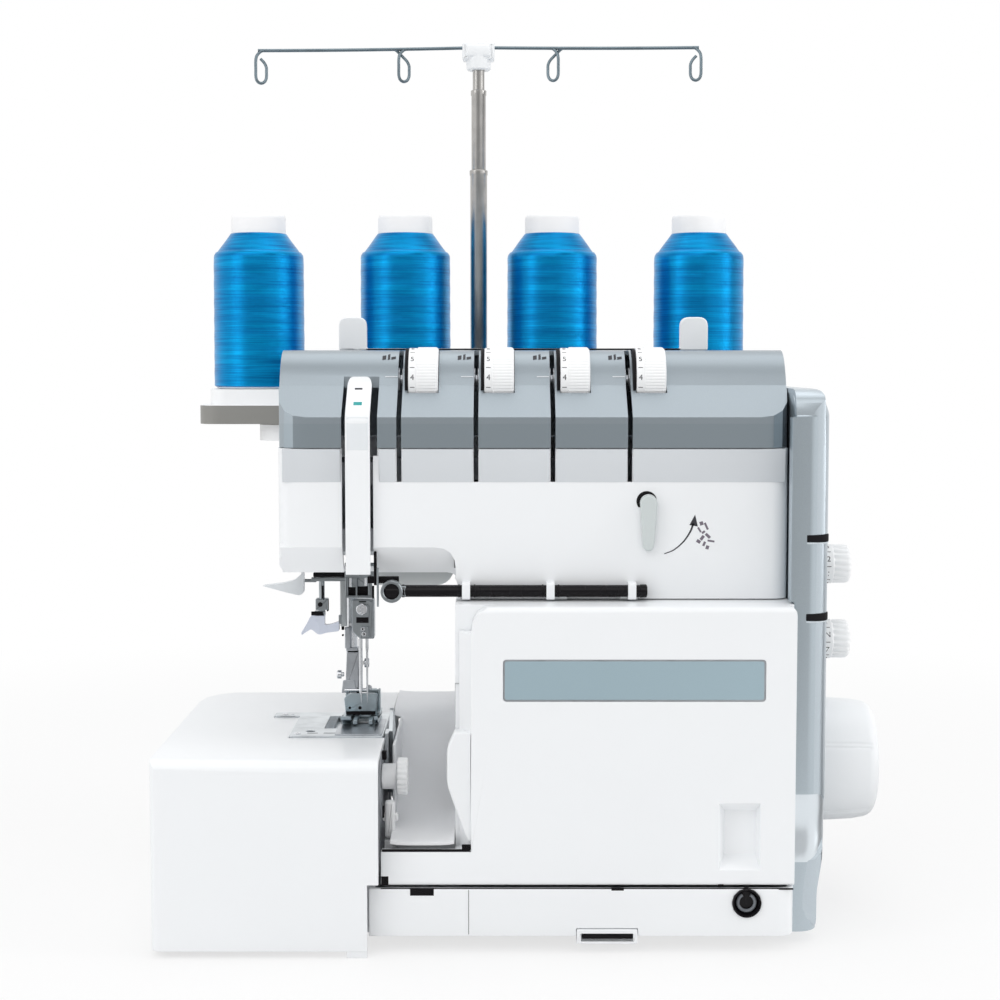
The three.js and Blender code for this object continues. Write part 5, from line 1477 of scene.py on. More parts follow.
@dataclass
class NeedleHead:
    """Bars, clamp, threader, presser foot and the guards and links round them.

    Args:
        clamp: the clamp's left, right, low and high, in millimetres.
        front: depth of the clamp's face.
    """

    clamp: tuple[float, float, float, float] = (-77.3, -65.8, 143.6, 164.4)
    front: float = 83.1

    def bars(self) -> None:
        """The polished bars of needle and presser, which keep their frame shape."""
        for node in ("needle_bar", "presser_bar", "needles"):
            dress(node, Finish.BAR)

    def needle_clamp(self) -> None:
        """The clamp block with its two slotted screws, its window and screw sockets dark with painted shade,
        and set screws.
        """
        left, right, low, high = self.clamp
        face = self.front
        body = [
            plate([(left, low + 4, 0.6), (left + 4, low, 0.8), (right, low, 0.8), (right, high - 0.3, 0.8),
                (left, high - 0.3, 0.8)], face, 92.8, 0.35),
            plate(rectangle((right - 2.2, right - 0.5), (low + 0.6, high - 1), 0.3), face - 0.9, face + 0.4,
                0.2),
            plate([(left + 4.2, low + 0.3, 0.4), (right - 2.8, low + 0.3, 0.4),
                (right - 2.8, low + 6.6, 0.6), (left + 4.2, low + 6.6, 0.6)], face - 1.3, face + 0.4, 0.25),
            plate(rectangle((left + 2.6, left + 9), (high - 9.4, high - 2.6), 1.5), face - 0.9, face + 0.4,
                0.25),
        ]
        made = piece("needle_clamp_body", body, Finish.HEAD, "needle_bar")
        screws = [
            screw_head(Axis.Y, (left + 5.2, face - 0.9, high - 5.0), 3.0, -1.5),
            screw_head(Axis.Y, (left + 6.3, face - 1.2, low + 2.8), 1.3, -1.2),
            screw_head(Axis.Y, (left + 5.8, face - 1.2, low + 5.4), 1.1, -1.2),
        ]
        piece("needle_clamp_screws", screws, Finish.BAR, "needle_bar")
        # Painted shade: dark blocks and pins where the clamp's window and screw sockets lie in shadow.
        dark = [
            solid((left + 2.2, face - 0.35, low + 8.4), (left + 8.6, face + 0.3, low + 11.4), 0.2),
            pin(Axis.Y, (left + 5.6, face - 2.45, low + 5.4), 0.45, 0.5),
            pin(Axis.Y, (left + 6.6, face - 2.45, low + 2.8), 0.45, 0.5),
            solid((left + 3.6, face - 0.15, high - 1.6), (left + 7.4, face + 0.4, high - 0.9), 0.1),
        ]
        piece("needle_clamp_window", dark, Finish.DARK, body="needle_bar")
        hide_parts("needle_clamp")

    def head_guide(self) -> None:
        """The guide block above the clamp, with painted shade in its two windows and the oil guard's bar."""
        grey = [
            plate(rectangle((-80.6, -64.7), (176.2, 184), 0.3), 77.6, 80.6, 0.3),
            solid((-80.4, 78.4, 166.4), (-78.9, 80.4, 176.6), 0.3),
            solid((-74.9, 77.9, 166.4), (-74.1, 80.2, 176.6), 0.2),
            solid((-68.6, 78.4, 166.4), (-66.4, 80.4, 176.6), 0.3),
            solid((-80.4, 78.2, 165.7), (-66.4, 80.6, 167), 0.25),
            solid((-73.6, 77.2, 176.8), (-66.2, 78.2, 183), 0.3),
            solid((-98, 78.6, 174.4), (-80, 80.4, 176.4), 0.2),
            solid((-101.6, 79.4, 173.8), (-95.5, 81, 175.4), 0.2),
        ]
        grey += [solid((-79.2, 79.4, 171.2), (-74.9, 80.6, 176.4), 0.25),
            solid((-74.2, 79.2, 171.6), (-68.4, 80.6, 176.4), 0.25)]
        pins = [pin(Axis.Z, (-77.6, 79.2, 171.2), 0.8, 11), pin(Axis.Z, (-69.6, 78.6, 171.8), 0.9, 10.6)]
        piece("head_guide_pins", pins, Finish.BAR)
        piece("head_guide_block", grey, Finish.HEAD)
        dark = [
            solid((-79.2, 80.4, 166.8), (-74.8, 81, 171.4), 0.15),
            solid((-74.2, 80.2, 166.8), (-68.4, 81, 171.8), 0.15),
            solid((-97, 78.2, 176.6), (-80.4, 81, 178.9), 0.4),
            solid((-66.4, 78, 165.4), (-65.4, 80, 172), 0.2),
        ]
        piece("head_guide_shade", dark, Finish.DARK)
        light = [solid((-84.4, 93.6, 148.6), (-80.9, 96.1, 178), 0.5, Axis.Z)]
        piece("head_finger_guard", light, Finish.GREY)

    def foot(self) -> None:
        """The presser foot: sole with a split toe, boxed heel, front plate, hinge pin and ankle link."""
        toe = [(75, 102.2, 0.8), (82, 99.1, 2.5), (112, 99.1, 0.5), (112, 101.8, 0.5), (83, 101.9, 2),
            (75, 104.2, 0.5)]
        steel = [
            plate(toe, -82.9, -77.6, 0.25, Axis.X), plate(toe, -65.6, -63.6, 0.25, Axis.X),
            solid((-77.8, 93.4, 99.2), (-65.4, 111.8, 101.7), 0.3, Axis.X),
            solid((-76.8, 78, 99.3), (-74.5, 94, 101.6), 0.3, Axis.X),
            solid((-68.5, 78, 99.3), (-66.5, 94, 101.6), 0.3, Axis.X),
            plate([(-81.9, 103.2, 0.4), (-65.3, 103.2, 0.4), (-64.7, 112.9, 0.7), (-79.4, 112.9, 1.2),
                (-82.6, 110.4, 0.6)], 93.2, 94.6, 0.3),
            solid((-81.9, 94.4, 101.6), (-80.4, 108, 112.6), 0.3, Axis.X),
            solid((-66.6, 94.4, 101.6), (-65.1, 108, 112.6), 0.3, Axis.X),
            solid((-81.2, 99.4, 112.4), (-66, 107.6, 113.3), 0.3, Axis.Z),
            solid((-65.0, 96.6, 102.4), (-63.7, 103, 114), 0.3, Axis.Z),
            solid((-70.4, 96.4, 112.6), (-64.4, 98.6, 114.4), 0.3),
        ]
        made = piece("presser_foot_sole", steel, Finish.SOLE, "presser")
        link = [
            plate([(-82.2, 114.6, 0.6), (-75.2, 114.6, 0.6), (-74.9, 134.2, 0.5), (-81.4, 134.2, 0.5)],
                97.2, 98.7, 0.3),
            solid((-81.6, 98.4, 113), (-75.2, 107, 135.4), 0.5, Axis.Z),
            plate([(-84.2, 112.6, 0.5), (-76, 112.6, 0.5), (-77.4, 119.4, 0.8), (-83.4, 119.4, 0.8)], 96.4,
                97.6, 0.25),
            solid((-82.4, 97.6, 136.2), (-79.4, 100.4, 147.6), 0.4, Axis.Z),
            solid((-81.8, 97.8, 134.8), (-75.4, 105, 136.4), 0.3, Axis.Z),
        ]
        piece("presser_ankle", link, Finish.STEEL, "presser")
        shine = [
            pin(Axis.Z, (-73.9, 95.4, 113.2), 1.1, 28.6), pin(Axis.X, (-82.6, 96.2, 114.2), 1.0, 12),
            screw_head(Axis.X, (-71.9, 97.6, 128.6), 2.5, 2.4),
            screw_head(Axis.X, (-84.2, 97.6, 122.4), 2.3, -2.4),
            screw_head(Axis.Y, (-69.6, 97.8, 115.2), 1.6, -1.4),
            pin(Axis.X, (-72.6, 97.6, 128.6), 1.2, 1.4),
            pin(Axis.X, (-84.4, 97.6, 122.4), 1.2, 1.6),
        ]
        piece("presser_screws", shine, Finish.BAR, "presser")
        dark = [
            solid((-81.6, 93.0, 101.4), (-66.2, 93.8, 103.3), 0.15),
            solid((-80.8, 97.9, 134.1), (-75.6, 98.9, 135.3), 0.15),
            solid((-76.2, 95.6, 112.4), (-74.8, 97, 115.2), 0.25),
            pin(Axis.Y, (-74.2, 92.9, 105.2), 0.9, 0.8),
            pin(Axis.Y, (-79.6, 92.9, 105.2), 0.7, 0.8),
            solid((-75.1, 96.6, 115.2), (-74.75, 98.4, 141), 0.1, Axis.Z),
            solid((-84.1, 96.9, 146.2), (-82.6, 98.2, 149.4), 0.3),
            pin(Axis.Y, (-83.4, 97.2, 143.4), 0.55, 1.0),
        ]
        piece("presser_shade", dark, Finish.DARK, "presser")
        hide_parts("presser_foot")

    def threader(self) -> None:
        """The needle threader: its rod, a steel bracket, and a bluish-white finger with a hook arm."""
        box = Box.of("needle_threader")
        origin = datum()
        low = (box.lo[2] - origin[2]) / MM
        body = [
            plate([(-103.4, low + 0.1, 0.4), (-98.6, low + 3.4, 1.2), (-94.6, low + 0.1, 1.8),
                (-90.5, low + 1.4, 1), (-83.9, low + 2.2, 0.8),
                   (-83.9, low + 7.2, 0.8), (-88.6, low + 5.6, 1), (-91.4, low + 5.4, 1),
                   (-91.4, low + 11.4, 0.8), (-97.4, low + 11.4, 1),
                   (-99.2, low + 9.4, 1), (-100.4, low + 6.8, 1), (-103.7, low + 1.4, 0.3)], 80.6, 85.2,
                       0.12),
        ]
        made = piece("threader_finger", body, Finish.THREADER, "needle_threader")
        metal = [
            pin(Axis.Z, (-93, 83, low + 8), 1.5, 61),
            solid((-96.1, 79.8, low + 13.3), (-89.6, 86.2, low + 19.2), 0.5),
            solid((-97, 80.6, low + 9.8), (-91.2, 85.6, low + 12.6), 0.5),
            plate(rectangle((-84.2, -82.6), (low + 5.9, low + 10.6), 0.3), 81.4, 83, 0.2),
        ]
        piece("threader_bracket", metal, Finish.HEAD, "needle_threader")
        dark = [
            pin(Axis.Y, (-93.6, 79.4, low + 16.3), 1.25, 0.8),
            solid((-98.4, 80.2, low + 10.5), (-92.2, 80.9, low + 12.6), 0.3),
            solid((-90.2, 80.4, low + 12.6), (-89.5, 85, low + 18.8), 0.2),
            solid((-92.9, 81.2, low + 19.4), (-91.8, 81.6, low + 26), 0.1),
        ]
        piece("threader_shade", dark, Finish.DARK, "needle_threader")
        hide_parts("needle_threader")

    def plate_details(self) -> None:
        """Dark fabric guide, screw and gauge marks on the needle plate, and the raised tongue by the foot."""
        top = 98.0
        marks = [
            solid((-90.5, 61.4, top), (-84, 62.0, top + 0.1), 0.04, Axis.Z),
            solid((-99, 61.4, top), (-93.5, 62.0, top + 0.1), 0.04, Axis.Z),
            solid((-118, 106.4, top), (-110, 107, top + 0.1), 0.04, Axis.Z),
        ]
        piece("plate_marks", marks, Finish.INK)
        tongue = [(-84.5, 56.5, 1), (-60.4, 56.5, 1), (-60.4, 98, 1), (-64.6, 98, 1), (-66.6, 84, 2),
            (-84.5, 82, 1)]
        piece("plate_tongue", plate(tongue, top, top + 0.5, 0.2, Axis.Z, 4), Finish.STEEL)
        screws = [
            screw_head(Axis.Z, (-104, 60.4, top - 0.2), 1.9, 0.5),
            screw_head(Axis.Z, (-116, 112, top - 0.2), 1.6, 0.5),
            screw_head(Axis.Z, (-112, 112.6, top - 0.2), 0.9, 0.5),
        ]
        piece("plate_screws", screws, Finish.BAR)

    def build(self) -> None:
        """Everything round the needles."""
        self.bars()
        self.needle_clamp()
        self.head_guide()
        self.foot()
        self.threader()
        self.plate_details()


# ---- Arm front ----------------------------------------------------------------------------------


@dataclass
class GuideRod:
    """The black rod under the arm, with polished bands, its steel ring and dark blocks of painted shade behind
    it.

    Args:
        y: depth of the rod's axis.
        z: its height.
        radius: of the rod.
    """

    y: float = 36.0
    z: float = 174.7
    radius: float = 3.0

    def build(self) -> None:
        """Rod, ring, the painted shade behind them and the thin thread rod beside them."""
        rod = [pin(Axis.X, (x, self.y, self.z), radius, length) for x, radius, length in (
            (-47.6, self.radius, 120.6), (-57.0, 2.7, 7.4),
            *((x, self.radius + rim, width) for x, rim, width in (
                (-48.8, 0.25, 1.6), (-13.2, 0.25, 1.2), (-21, 0.25, 1.2), (28.4, 0.25, 1.2),
                (20.6, 0.25, 1.2),
                (69.4, 0.3, 3.4))))]
        made = piece("guide_rod_bar", rod, Finish.BLACK)
        section = [(3.9, -3.2), (4.2, -3.5), (5.2, -3.5), (5.5, -3.2), (5.5, 2.2), (3.9, 2.2)]
        steel = [
            revolved(Axis.Y, section, at(-53.7, self.y, 174.6), 48, ring=True),
            solid((-49.2, 33.4, 172.2), (-46.6, 38.8, 177.4), 0.4),
            pin(Axis.Z, (-60.9, 39, 166.4), 0.55, 19.5), solid((-48.4, 33, 173.4), (-47, 33.6, 176.2), 0.2),
        ]
        piece("guide_rod_ring", steel, Finish.HEAD)
        # Painted shade: dark blocks under the arm's edge, beside the strip and in the ring's bore, where shadow
        # falls.
        shade = [
            solid((-66.2, 41.2, 177.8), (-50.5, 44, 181.2), 0.4),
            solid((-62.9, 39.6, 177), (-61.4, 41, 194), 0.4),
            pin(Axis.Y, (-53.7, 33.6, 174.6), 3.85, 3.4),
        ]
        piece("guide_rod_bracket", shade, Finish.DARK)
        notches = [
            plate([(24.4, 170.6, 0.5), (33.6, 170.6, 0.5), (32.4, 173.4, 1), (25.6, 173.4, 1)], 35.2, 39.6,
                0.2),
            plate([(59.2, 170.6, 0.5), (68.6, 170.6, 0.5), (67.4, 173.4, 1), (60.6, 173.4, 1)], 35.2, 39.6,
                0.2),
        ]
        piece("guide_rod_feet", notches, Finish.GREY)
        skirt = [
            plate([(-62, 175.2, 1), (-26.5, 175.2, 6), (-22.6, 183.6, 2), (-62, 183.6, 1)], 55.5, 57.5,
                0.5),
        ]
        piece("arm_skirt", skirt, Finish.GREY)
        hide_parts("guide_rod")


@dataclass
class TakeUpStrip:
    """The white take-up strip: one bent band with a rounded head, an index mark and a teal lamp window.

    Args:
        left: its left edge.
        right: its right edge.
        thickness: of the band.
    """

    left: float = -76.6
    right: float = -64.3
    thickness: float = 2.2

    def line(self) -> Array:
        """The band's middle line in depth and height: up the arm, round the cover's edge and up its slope."""
        return flowing([(37, 182.8), (37, 205), (37, 235), (37, 255), (37.2, 259.6), (38.6, 262.4),
            (44, 267.1), (50, 272.3), (54.4, 276.2), (56.2, 278.6), (57.0, 280.2)], 6)

    def width(self, share: Array) -> Array:
        """Half the band's width along its length: full, then a quarter circle closes the head."""
        end = np.clip((share - 0.945) / 0.055, 0, 1)
        return (self.right - self.left) / 2 * (0.62 + 0.38 * np.sqrt(np.clip(1 - end**2, 0, 1)))

    def build(self) -> None:
        """Band, marks and the light panel on its lower half."""
        line = self.line()
        along_line = np.gradient(line, axis=0)
        along_line /= np.linalg.norm(along_line, axis=1)[:, None]
        normal = np.column_stack([-along_line[:, 1], along_line[:, 0]])
        length = np.concatenate([[0], np.cumsum(np.linalg.norm(np.diff(line, axis=0), axis=1))])
        half = self.width(length / length[-1])
        turn = np.linspace(0, TAU, 28, endpoint=False)
        square = 7.0
        across = np.sign(np.cos(turn)) * np.abs(np.cos(turn)) ** (2 / square)
        through = np.sign(np.sin(turn)) * np.abs(np.sin(turn)) ** (2 / square)
        middle = (self.left + self.right) / 2
        x = middle + half[:, None] * across
        lift = (self.thickness / 2) * through
        y = line[:, :1] + normal[:, :1] * lift
        z = line[:, 1:] + normal[:, 1:] * lift
        rings = np.stack([x, y, z], axis=-1) * MM + datum()
        band = piece("takeup_strip_band", capped(rings), Finish.SHELL, crease=50)
        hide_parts("takeup_strip")
        face = line + normal * (self.thickness / 2 + 0.05)

        def mark(low: float, high: float, u: tuple[float, float], name: str, finish: Finish) -> None:
            """A flat mark on the band's face between two shares of the slope."""
            place = np.interp(np.linspace(low, high, 6), length / length[-1], face[:, 0])
            rise = np.interp(np.linspace(low, high, 6), length / length[-1], face[:, 1])
            sheet_points = np.array([[[side, y_, z_] for side in u] for y_, z_ in zip(place, rise)])
            rings_ = np.concatenate([sheet_points, sheet_points[:, ::-1] + (0, 0.3, -0.3)], axis=1)
            piece(name, capped(rings_ * MM + datum()), finish)

        mark(0.805, 0.828, (middle - 2.3, middle + 1.9), "strip_lamp", Finish.TEAL)
        mark(0.915, 0.927, (middle - 2.2, middle + 1.6), "strip_index", Finish.INK)
        mark(0.585, 0.735, (self.left + 0.9, self.right - 0.9), "strip_panel", Finish.PALE)


@dataclass
class ArmMarks:
    """The painted shade of the selector lever's recess and the curved arrow with its generic print beside it.
    """

    def arrow(self) -> Surface:
        """The curved line, thin at its foot and thick at its head, with a pointed head."""
        line = flowing([(81.8, 192.8), (86.6, 194.8), (91.4, 199), (94.6, 203.8), (96.2, 208)], 8)
        ahead = np.gradient(line, axis=0)
        ahead /= np.linalg.norm(ahead, axis=1)[:, None]
        side = np.column_stack([-ahead[:, 1], ahead[:, 0]])
        half = np.linspace(0.22, 0.5, len(line))[:, None]
        ribbon = np.vstack([line + side * half, (line - side * half)[::-1]])
        head = np.array([(94.2, 207.2), (98.4, 206.4), (97.0, 212.4)])
        return joined([flat_mark(ribbon), flat_mark(head)])

    def print_marks(self) -> Surface:
        """A small generic print: three leaning strokes and dots."""
        marks = []
        for index, (x, z, width, height) in enumerate([
            (100.2, 205.6, 1.5, 1.6), (102.6, 204.2, 0.9, 3.2), (99.2, 202.4, 0.8, 2.4),
            (101.2, 201.2, 1.6, 0.9), (103.4, 199.4, 1.2, 2.6),
            (100.6, 198.4, 2.2, 1.3), (98.8, 196.6, 1.4, 1.8), (101.6, 195.4, 2.0, 1.0),
            (103.2, 193.6, 1.6, 1.4), (105, 196.8, 0.8, 3),
        ]):
            outline = np.array(bar_mark(width, height))
            angle = math.radians(18 + 7 * index)
            turn = np.array([[math.cos(angle), -math.sin(angle)], [math.sin(angle), math.cos(angle)]])
            marks.append(flat_mark(outline @ turn.T * 1.15 + (x, z + 2.4)))
        return joined(marks)

    def build(self) -> None:
        """Arrow, print and the painted shade in the lever's recess."""
        origin = datum() + np.array([0, 39.97, 0]) * MM
        piece("selector_arrow", self.arrow().mapped(upright, origin), Finish.INK)
        piece("selector_print", self.print_marks().mapped(upright, origin), Finish.PRINT)
        # A dark crescent of painted shade where the recess round the lever's hub lies in shadow.
        turn = np.linspace(math.radians(20), math.radians(215), 30)
        centre = np.array([72.9, 219.0])
        outer = centre + 5.1 * np.column_stack([np.cos(turn), np.sin(turn)])
        inner = centre + np.array([0.9, -0.7]) + 4.3 * np.column_stack([np.cos(turn), np.sin(turn)])
        crescent = flat_mark(np.vstack([outer, inner[::-1]])).mapped(upright, origin)
        piece("selector_recess", crescent, Finish.DARK)
        self.lever()

    def lever(self) -> None:
        """The lever: two circles joined by straight flanks, on a round hub."""
        upper, lower = np.linspace(0, math.pi, 16), np.linspace(math.pi, TAU, 16)
        top = np.column_stack([73.7 + 4.3 * np.cos(upper), 218.1 + 4.3 * np.sin(upper)])
        foot = np.column_stack([73.7 + 2.7 * np.cos(lower), 197.1 + 2.7 * np.sin(lower)])
        blade = slab(Axis.Y, np.vstack([top, foot]) * MM, (35.3 * MM, 39.2 * MM), 1.1 * MM, 5,
            centre=datum())
        made = piece("selector_blade", blade + pin(Axis.Y, (73.7, 38.6, 218.1), 3.4, 3.5), Finish.LEVER,
            "selector_lever")
        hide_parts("selector_lever")


# ---- Front, base and cover details --------------------------------------------------------------


@dataclass
class FrontDetails:
    """The door's name plate, left bare, its seals and the small parts along the base."""

    def name_plate(self) -> None:
        """A bare satin plate in the door's seat, with a fine bright border."""
        border = plate(rectangle((1.6, 128.6), (124.2, 144.4), 1.6), 9.35, 10.08, 0.25)
        field_ = plate(rectangle((2.3, 127.9), (124.9, 143.7), 1.3), 9.2, 9.9, 0.15)
        piece("name_plate_border", border, Finish.STEEL, "front_cover")
        piece("name_plate", field_, Finish.BADGE, "front_cover")

    def seals(self) -> None:
        """The dark seals and notches where door, chute and base meet."""
        door = [
            solid((-57.6, 9.2, 50.1), (-14.6, 10.2, 51.2), 0.15),
            solid((-18.6, 9.1, 51), (-14.2, 10.4, 53.6), 0.3),
            solid((106.4, 8.95, 33.2), (109, 9.4, 33.9), 0.1),
            solid((-57.9, 8.88, 33.6), (-54.4, 9.6, 38.0), 0.15),
        ]
        piece("door_seal", door, Finish.DARK, "front_cover")
        base = [
            solid((-43.9, 7.92, 28.6), (-32.2, 9.2, 32.3), 0.2),
            solid((54.2, 7.95, 31.1), (60.4, 9.6, 32.3), 0.2),
            solid((-58.2, 8.15, 31.5), (143, 9.2, 32.2), 0.1),
            solid((-15.4, 7.9, 9.4), (-15.15, 8.3, 31.6), 0.1),
        ]
        piece("base_seal", base, Finish.DARK)
        flank = [solid((-22.15, 21.4, 130.5), (-14.6, 22.3, 131.0), 0.1),
            solid((-22.1, 21.8, 110), (-21.9, 22.4, 130.6), 0.05)]
        piece("column_seal", flank, Finish.GREY)

    def port(self) -> None:
        """The round port: a black dished disc and an open ring in it."""
        centre = Box.of("base_port").end(Axis.Y)
        disc = [(0.0, 3.6), (4.9, 3.4), (5.9, 2.4), (6.1, 0.6), (6.5, 0.1), (7.0, 0.0), (7.1, 0.5),
            (7.1, 4), (0.0, 4)]
        dish = revolved(Axis.Y, disc, centre, 72)
        made = piece("base_port_dish", dish, Finish.BLACK)
        turn = np.linspace(math.radians(118), math.radians(422), 44)
        ring = np.column_stack([4.15 * MM * np.cos(turn), np.full(44, 2.4 * MM),
            4.15 * MM * np.sin(turn)]) + centre
        piece("base_port_ring", tube(ring, 0.85 * MM, 14), Finish.RING)
        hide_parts("base_port")

    def latch(self) -> None:
        """Painted shade: a dark sheet inside the latch frame under the door's edge."""
        box = Box.of("base_latch")
        origin = datum()
        left, front, low = (box.lo - origin) / MM
        right, _, high = (box.hi - origin) / MM
        inside = [solid((left + 2.4, front + 0.25, low + 2.4), (right - 2.2, front + 0.9, high - 0.1), 0.2)]
        piece("latch_opening", inside, Finish.DARK)

    def build(self) -> None:
        """All of the front's details."""
        self.name_plate()
        self.seals()
        self.port()
        self.latch()


@dataclass
class Chute:
    """The waste chute beside the bed: one light sheet that sweeps from its rear wall to the door.

    Args:
        right: its right edge, at the column, in millimetres.
        bed: its left edge beside the bed casting.
        rear: its left edge behind the bed casting.
        thickness: of the sheet.
    """

    right: float = -22.4
    bed: float = -53.7
    rear: float = -57.9
    thickness: float = 1.6

    def sheet(self) -> Surface:
        """The sweep: height falls steeply from the rear and flattens to the front, and the edges curl up.

        At each place along the fall the sheet's cross-section rises by 0.7 mm of the fourth power of
        its distance from the middle, as a share of the half width.
        """
        fall = flowing([(182.6, 97.9), (160, 97.8), (138, 97.2), (127, 93), (118, 84), (106, 73),
            (90, 64.5), (64, 58), (35, 55.4), (12.5, 54)], 7)
        slope = np.gradient(fall, axis=0)
        slope /= np.linalg.norm(slope, axis=1)[:, None]
        down = np.column_stack([slope[:, 1], -slope[:, 0]])
        down *= np.sign(-down[:, 1:])
        left = np.where(fall[:, 0] > 127, self.rear, self.bed)
        share = np.linspace(0, 1, 25)
        x = left[:, None] + (self.right - left)[:, None] * share
        curl = 0.7 * np.abs(2 * share - 1) ** 4
        y, z = np.broadcast_to(fall[:, :1], x.shape), fall[:, 1:] + curl
        upper = np.stack([x, y, z], axis=-1)
        lower = np.stack([x, y + self.thickness * down[:, :1],
            fall[:, 1:] + curl + self.thickness * down[:, 1:]], axis=-1)
        lower[..., 2] = np.maximum(lower[..., 2], 32.5)
        rings = np.concatenate([upper, lower[:, ::-1]], axis=1)
        return capped(rings * MM + datum())

    def build(self) -> None:
        """The sheet, its side webs and the release lever beside it."""
        made = piece("waste_chute_sheet", self.sheet(), Finish.CHUTE, crease=60)
        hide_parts("waste_chute")
        flare = plate([(-13.0, 108.5, 1), (-22.2, 108.5, 1), (-25.9, 100.5, 3), (-25.9, 82.5, 3),
            (-20.2, 66, 8), (-15.6, 54, 1), (-13.0, 54, 1)],
                      11.6, 21.4, 1.0)
        piece("column_flare", flare, Finish.SHELL, "front_cover")
        panel = solid((-54.6, 52, 56), (-53.2, 125.4, 94), 0.4)
        piece("bed_side_panel", panel, Finish.CHUTE)
        lever = [solid((-57.3, 28.6, 51.6), (-52.2, 33.4, 70.4), 1.4),
            solid((-58.6, 29.6, 60), (-50.6, 33, 64), 1.0),
                 solid((-57.6, 29.2, 33), (-51.4, 34, 50.6), 0.8)]
        piece("knife_release_lever", lever, Finish.DIAL)
        dark = [solid((-58.5, 27, 91.6), (-56.2, 30, 96), 0.4),
            solid((-58.4, 28, 62), (-57.6, 30.2, 68), 0.2)]
        piece("bed_edge_shade", dark, Finish.DARK)


@dataclass
class CoverDetails:
    """Marks on the silver cover: a small print and a light index line at each slot.

    Args:
        first: the first slot's middle, in millimetres.
        pitch: from slot to slot.
    """

    first: float = -50.1
    pitch: float = 38.2

    def crown(self) -> Array:
        """The crown's line in depth and height: the quadratic curve from the crease to the flat top."""
        t = np.linspace(0, 1, 60)[:, None]
        low, middle, high = np.array([[56.0, 276.4], [62.65, 293.0], [75.0, 294.0]])
        return (1 - t) ** 2 * low + 2 * t * (1 - t) * middle + t**2 * high

    def on_crown(self, points: Array, x: float, height: float) -> Array:
        """Places (u, v, w) on the crown at a height, v upward, following the crown's curve."""
        high = height + points[:, 1] / MM
        line = self.crown()
        depth = np.interp(high, line[:, 1], line[:, 0])
        return np.column_stack([x + points[:, 0] / MM, depth - points[:, 2] / MM - 0.06,
            high + 0.03]) * MM + datum()

    def build(self) -> None:
        """Marks for each slot: a small print and a light index line."""
        prints, lines = [], []
        for index in range(4):
            slot = self.first + self.pitch * index
            for u, width, height, lift in ((-8.6, 1.9, 2.4, 0), (-6.2, 1.2, 3.0, 0.3),
                (-3.9, 2.3, 1.6, -0.2)):
                outline = [(-width / 2, -height / 2), (width / 2, -height / 2 + 0.4),
                    (width / 2, height / 2), (-width / 2, height / 2 - 0.3)]
                prints.append(flat_mark(outline).mapped(self.on_crown, slot + u, 290.2 + lift))
            line = [(-3.2, -0.22), (3.0, -0.22), (3.0, 0.22), (-3.2, 0.22)]
            lines.append(flat_mark(line).mapped(self.on_crown, slot - 4.6, 280.6))
        piece("cover_print", prints, Finish.INK)
        piece("cover_index", lines, Finish.PALE)


@dataclass
class ArmBrow:
    """The band under the silver cover, greyed with painted shade: shallow wedges between the thread slots.

    Args:
        low: its lower edge, in millimetres.
        high: its upper edge.
        spans: where each wedge runs.
    """

    low: float = 228.6
    high: float = 245.1
    spans: tuple[tuple[float, float], ...] = ((-108.0, -79.2), (-60.0, -51.6), (-48.6, -13.4),
        (-10.4, 24.8), (27.8, 63.0), (66.0, 141.5))

    def build(self) -> None:
        """Every wedge: proud at the top, nearly flush at its lower edge."""
        low, high = self.low, self.high
        wedge = [(39.75, low, 0.05), (38.3, high, 0.4), (40.4, high, 0.1), (40.4, low, 0.1)]
        parts = [plate(wedge, left, right, 0.3, Axis.X, 4) for left, right in self.spans]
        # The wedges' greyer white is painted shade under the cover's edge.
        piece("arm_brow", parts, Finish.BROW)


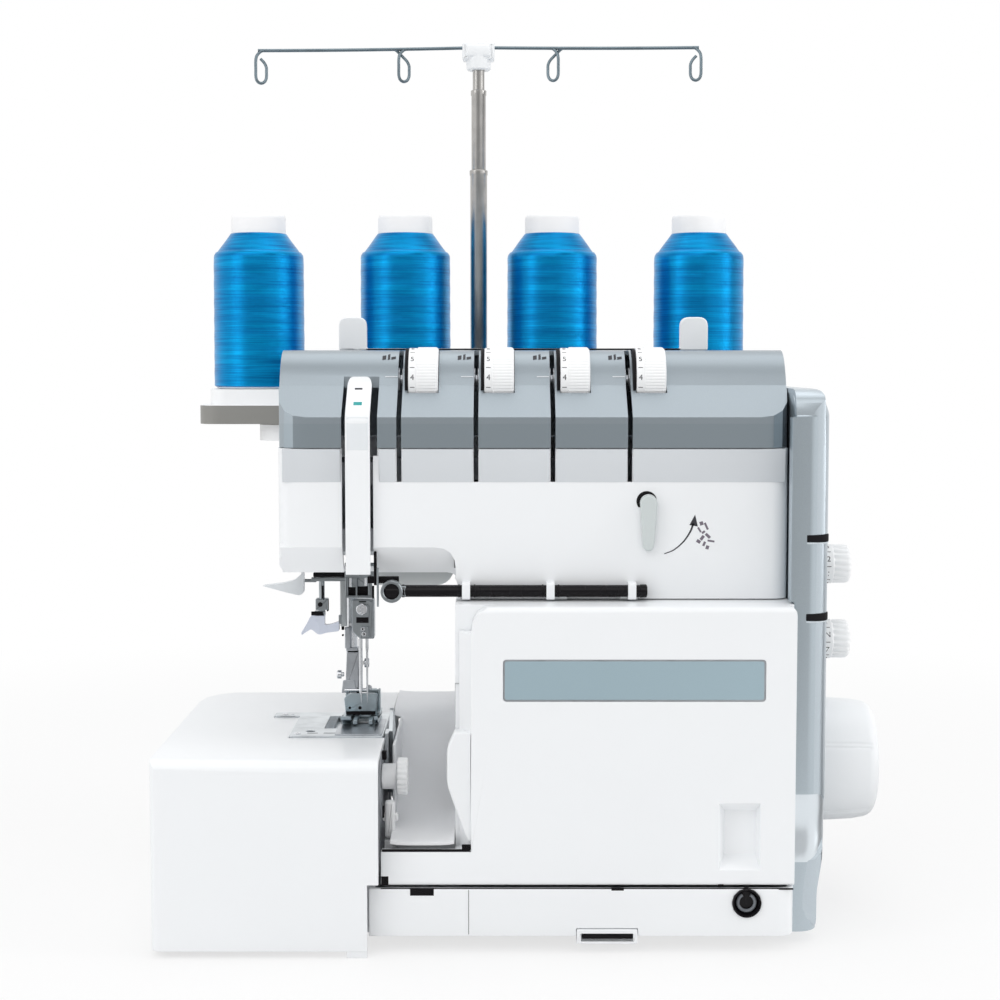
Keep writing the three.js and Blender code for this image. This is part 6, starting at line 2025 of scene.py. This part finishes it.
@dataclass
class SideCap:
    """The side cover's front: one swept shell with a round corner, a sloping head, two slots and a scoop.

    Args:
        left: its left side, in millimetres.
        right: its right side.
        lip: left edge of the lip that closes the gap beside the arm.
        front: its front face.
        rear: where it ends at the cover behind.
        corner: radius of the front right corner.
    """

    left: float = 144.4
    right: float = 161.9
    lip: float = 142.3
    front: float = 23.7
    rear: float = 67.2
    corner: float = 10.5

    def shell(self) -> Surface:
        """A stack of level sections.

        The right side draws in over the head by a quarter ellipse and below the scoop by a smooth
        step; the front leans back over the head and sinks into the scoop by a squared sine.
        """
        z = np.concatenate([np.linspace(5.9, 40, 24), np.linspace(41, 77, 40), np.linspace(80, 170.5, 20),
            np.linspace(170.9, 261, 20), np.linspace(261.4, 274.8, 26)])
        head = np.clip((z - 261.5) / 13.4, 0, 1)
        waist = np.clip((56 - z) / 34, 0, 1)
        waist = waist**2 * (3 - 2 * waist)
        right = self.right - 7.5 * (1 - np.sqrt(1 - head**2 * 0.98)) - 3.8 * waist
        inside = np.clip((z - 42) / 34, 0, 1)
        front = self.front + 17 * head**1.4 + 2.4 * np.sin(math.pi * inside) ** 2
        turn = np.linspace(0, math.pi / 2, 14)
        radius = np.minimum(self.corner, (right - self.left) - 1)[:, None]
        left = np.full((len(z), 1), self.left)
        lip = np.where((z > 170.7) & (z < 261.2), self.lip, self.left)[:, None]
        ledge = np.maximum(31.4, front + 1)[:, None]
        rear = np.full((len(z), 1), self.rear)
        x = np.concatenate([lip, lip + 0.4, right[:, None] - radius + radius * np.sin(turn), right[:, None],
            left, left, lip], axis=1)
        y = np.concatenate([front[:, None] + 0.5, front[:, None],
            front[:, None] + radius * (1 - np.cos(turn)), rear, rear, ledge, ledge], axis=1)
        level = np.broadcast_to(z[:, None], x.shape)
        return capped(np.stack([x, y, level], axis=-1) * MM + datum())

    def build(self) -> None:
        """Shell, the side slots filled with dark painted shade, and the ledges under them with a painted
        highlight.
        """
        # The cap's paint turns lighter over the scoop: painted light on top of its real dip.
        piece("side_cap", self.shell(), Finish.CAP, crease=50)
        slots, ledges = [], []
        # Dark fills in the slots are painted shade; the lighter ledges under them are a painted highlight.
        for low in (200.1, 161.3):
            outline = [(149.4, 23.5, 1.6), (162.2, 23.5, 10.2), (162.2, 66, 0.5), (149.4, 66, 0.5)]
            slots.append(plate(outline, low, low + 3.6, 0.3, Axis.Z, 7))
            ledges.append(plate(outline, low - 0.9, low - 0.1, 0.3, Axis.Z, 7))
        piece("side_slots", slots, Finish.DARK)
        piece("side_ledges", ledges, Finish.SCOOP)



ASSEMBLIES = [
    Shells(), SpoolSet(), ThreadStand(), TensionDials(), SettingDials(), Handwheel(), CuttingKnob(),
    NeedleHead(), GuideRod(), TakeUpStrip(),
    ArmMarks(), FrontDetails(), Chute(), CoverDetails(), ArmBrow(), SideCap(),
]


# ---- The machine --------------------------------------------------------------------------------


def corners(box: tuple) -> list[list[float]]:
    """A pair of corners as plain numbers."""
    return [[float(number) for number in corner] for corner in box]


def main() -> None:
    """Loads the frame, dresses it and builds every piece that stands on it."""
    logging.basicConfig(level=logging.INFO, format="%(name)s %(message)s")
    FRAME.update(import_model())
    model_box = corners(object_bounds())
    Studio().build()
    for assembly in ASSEMBLIES:
        assembly.build()
    {"model": model_box, "visual": corners(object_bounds())}


if __name__ == "__main__":
    main()
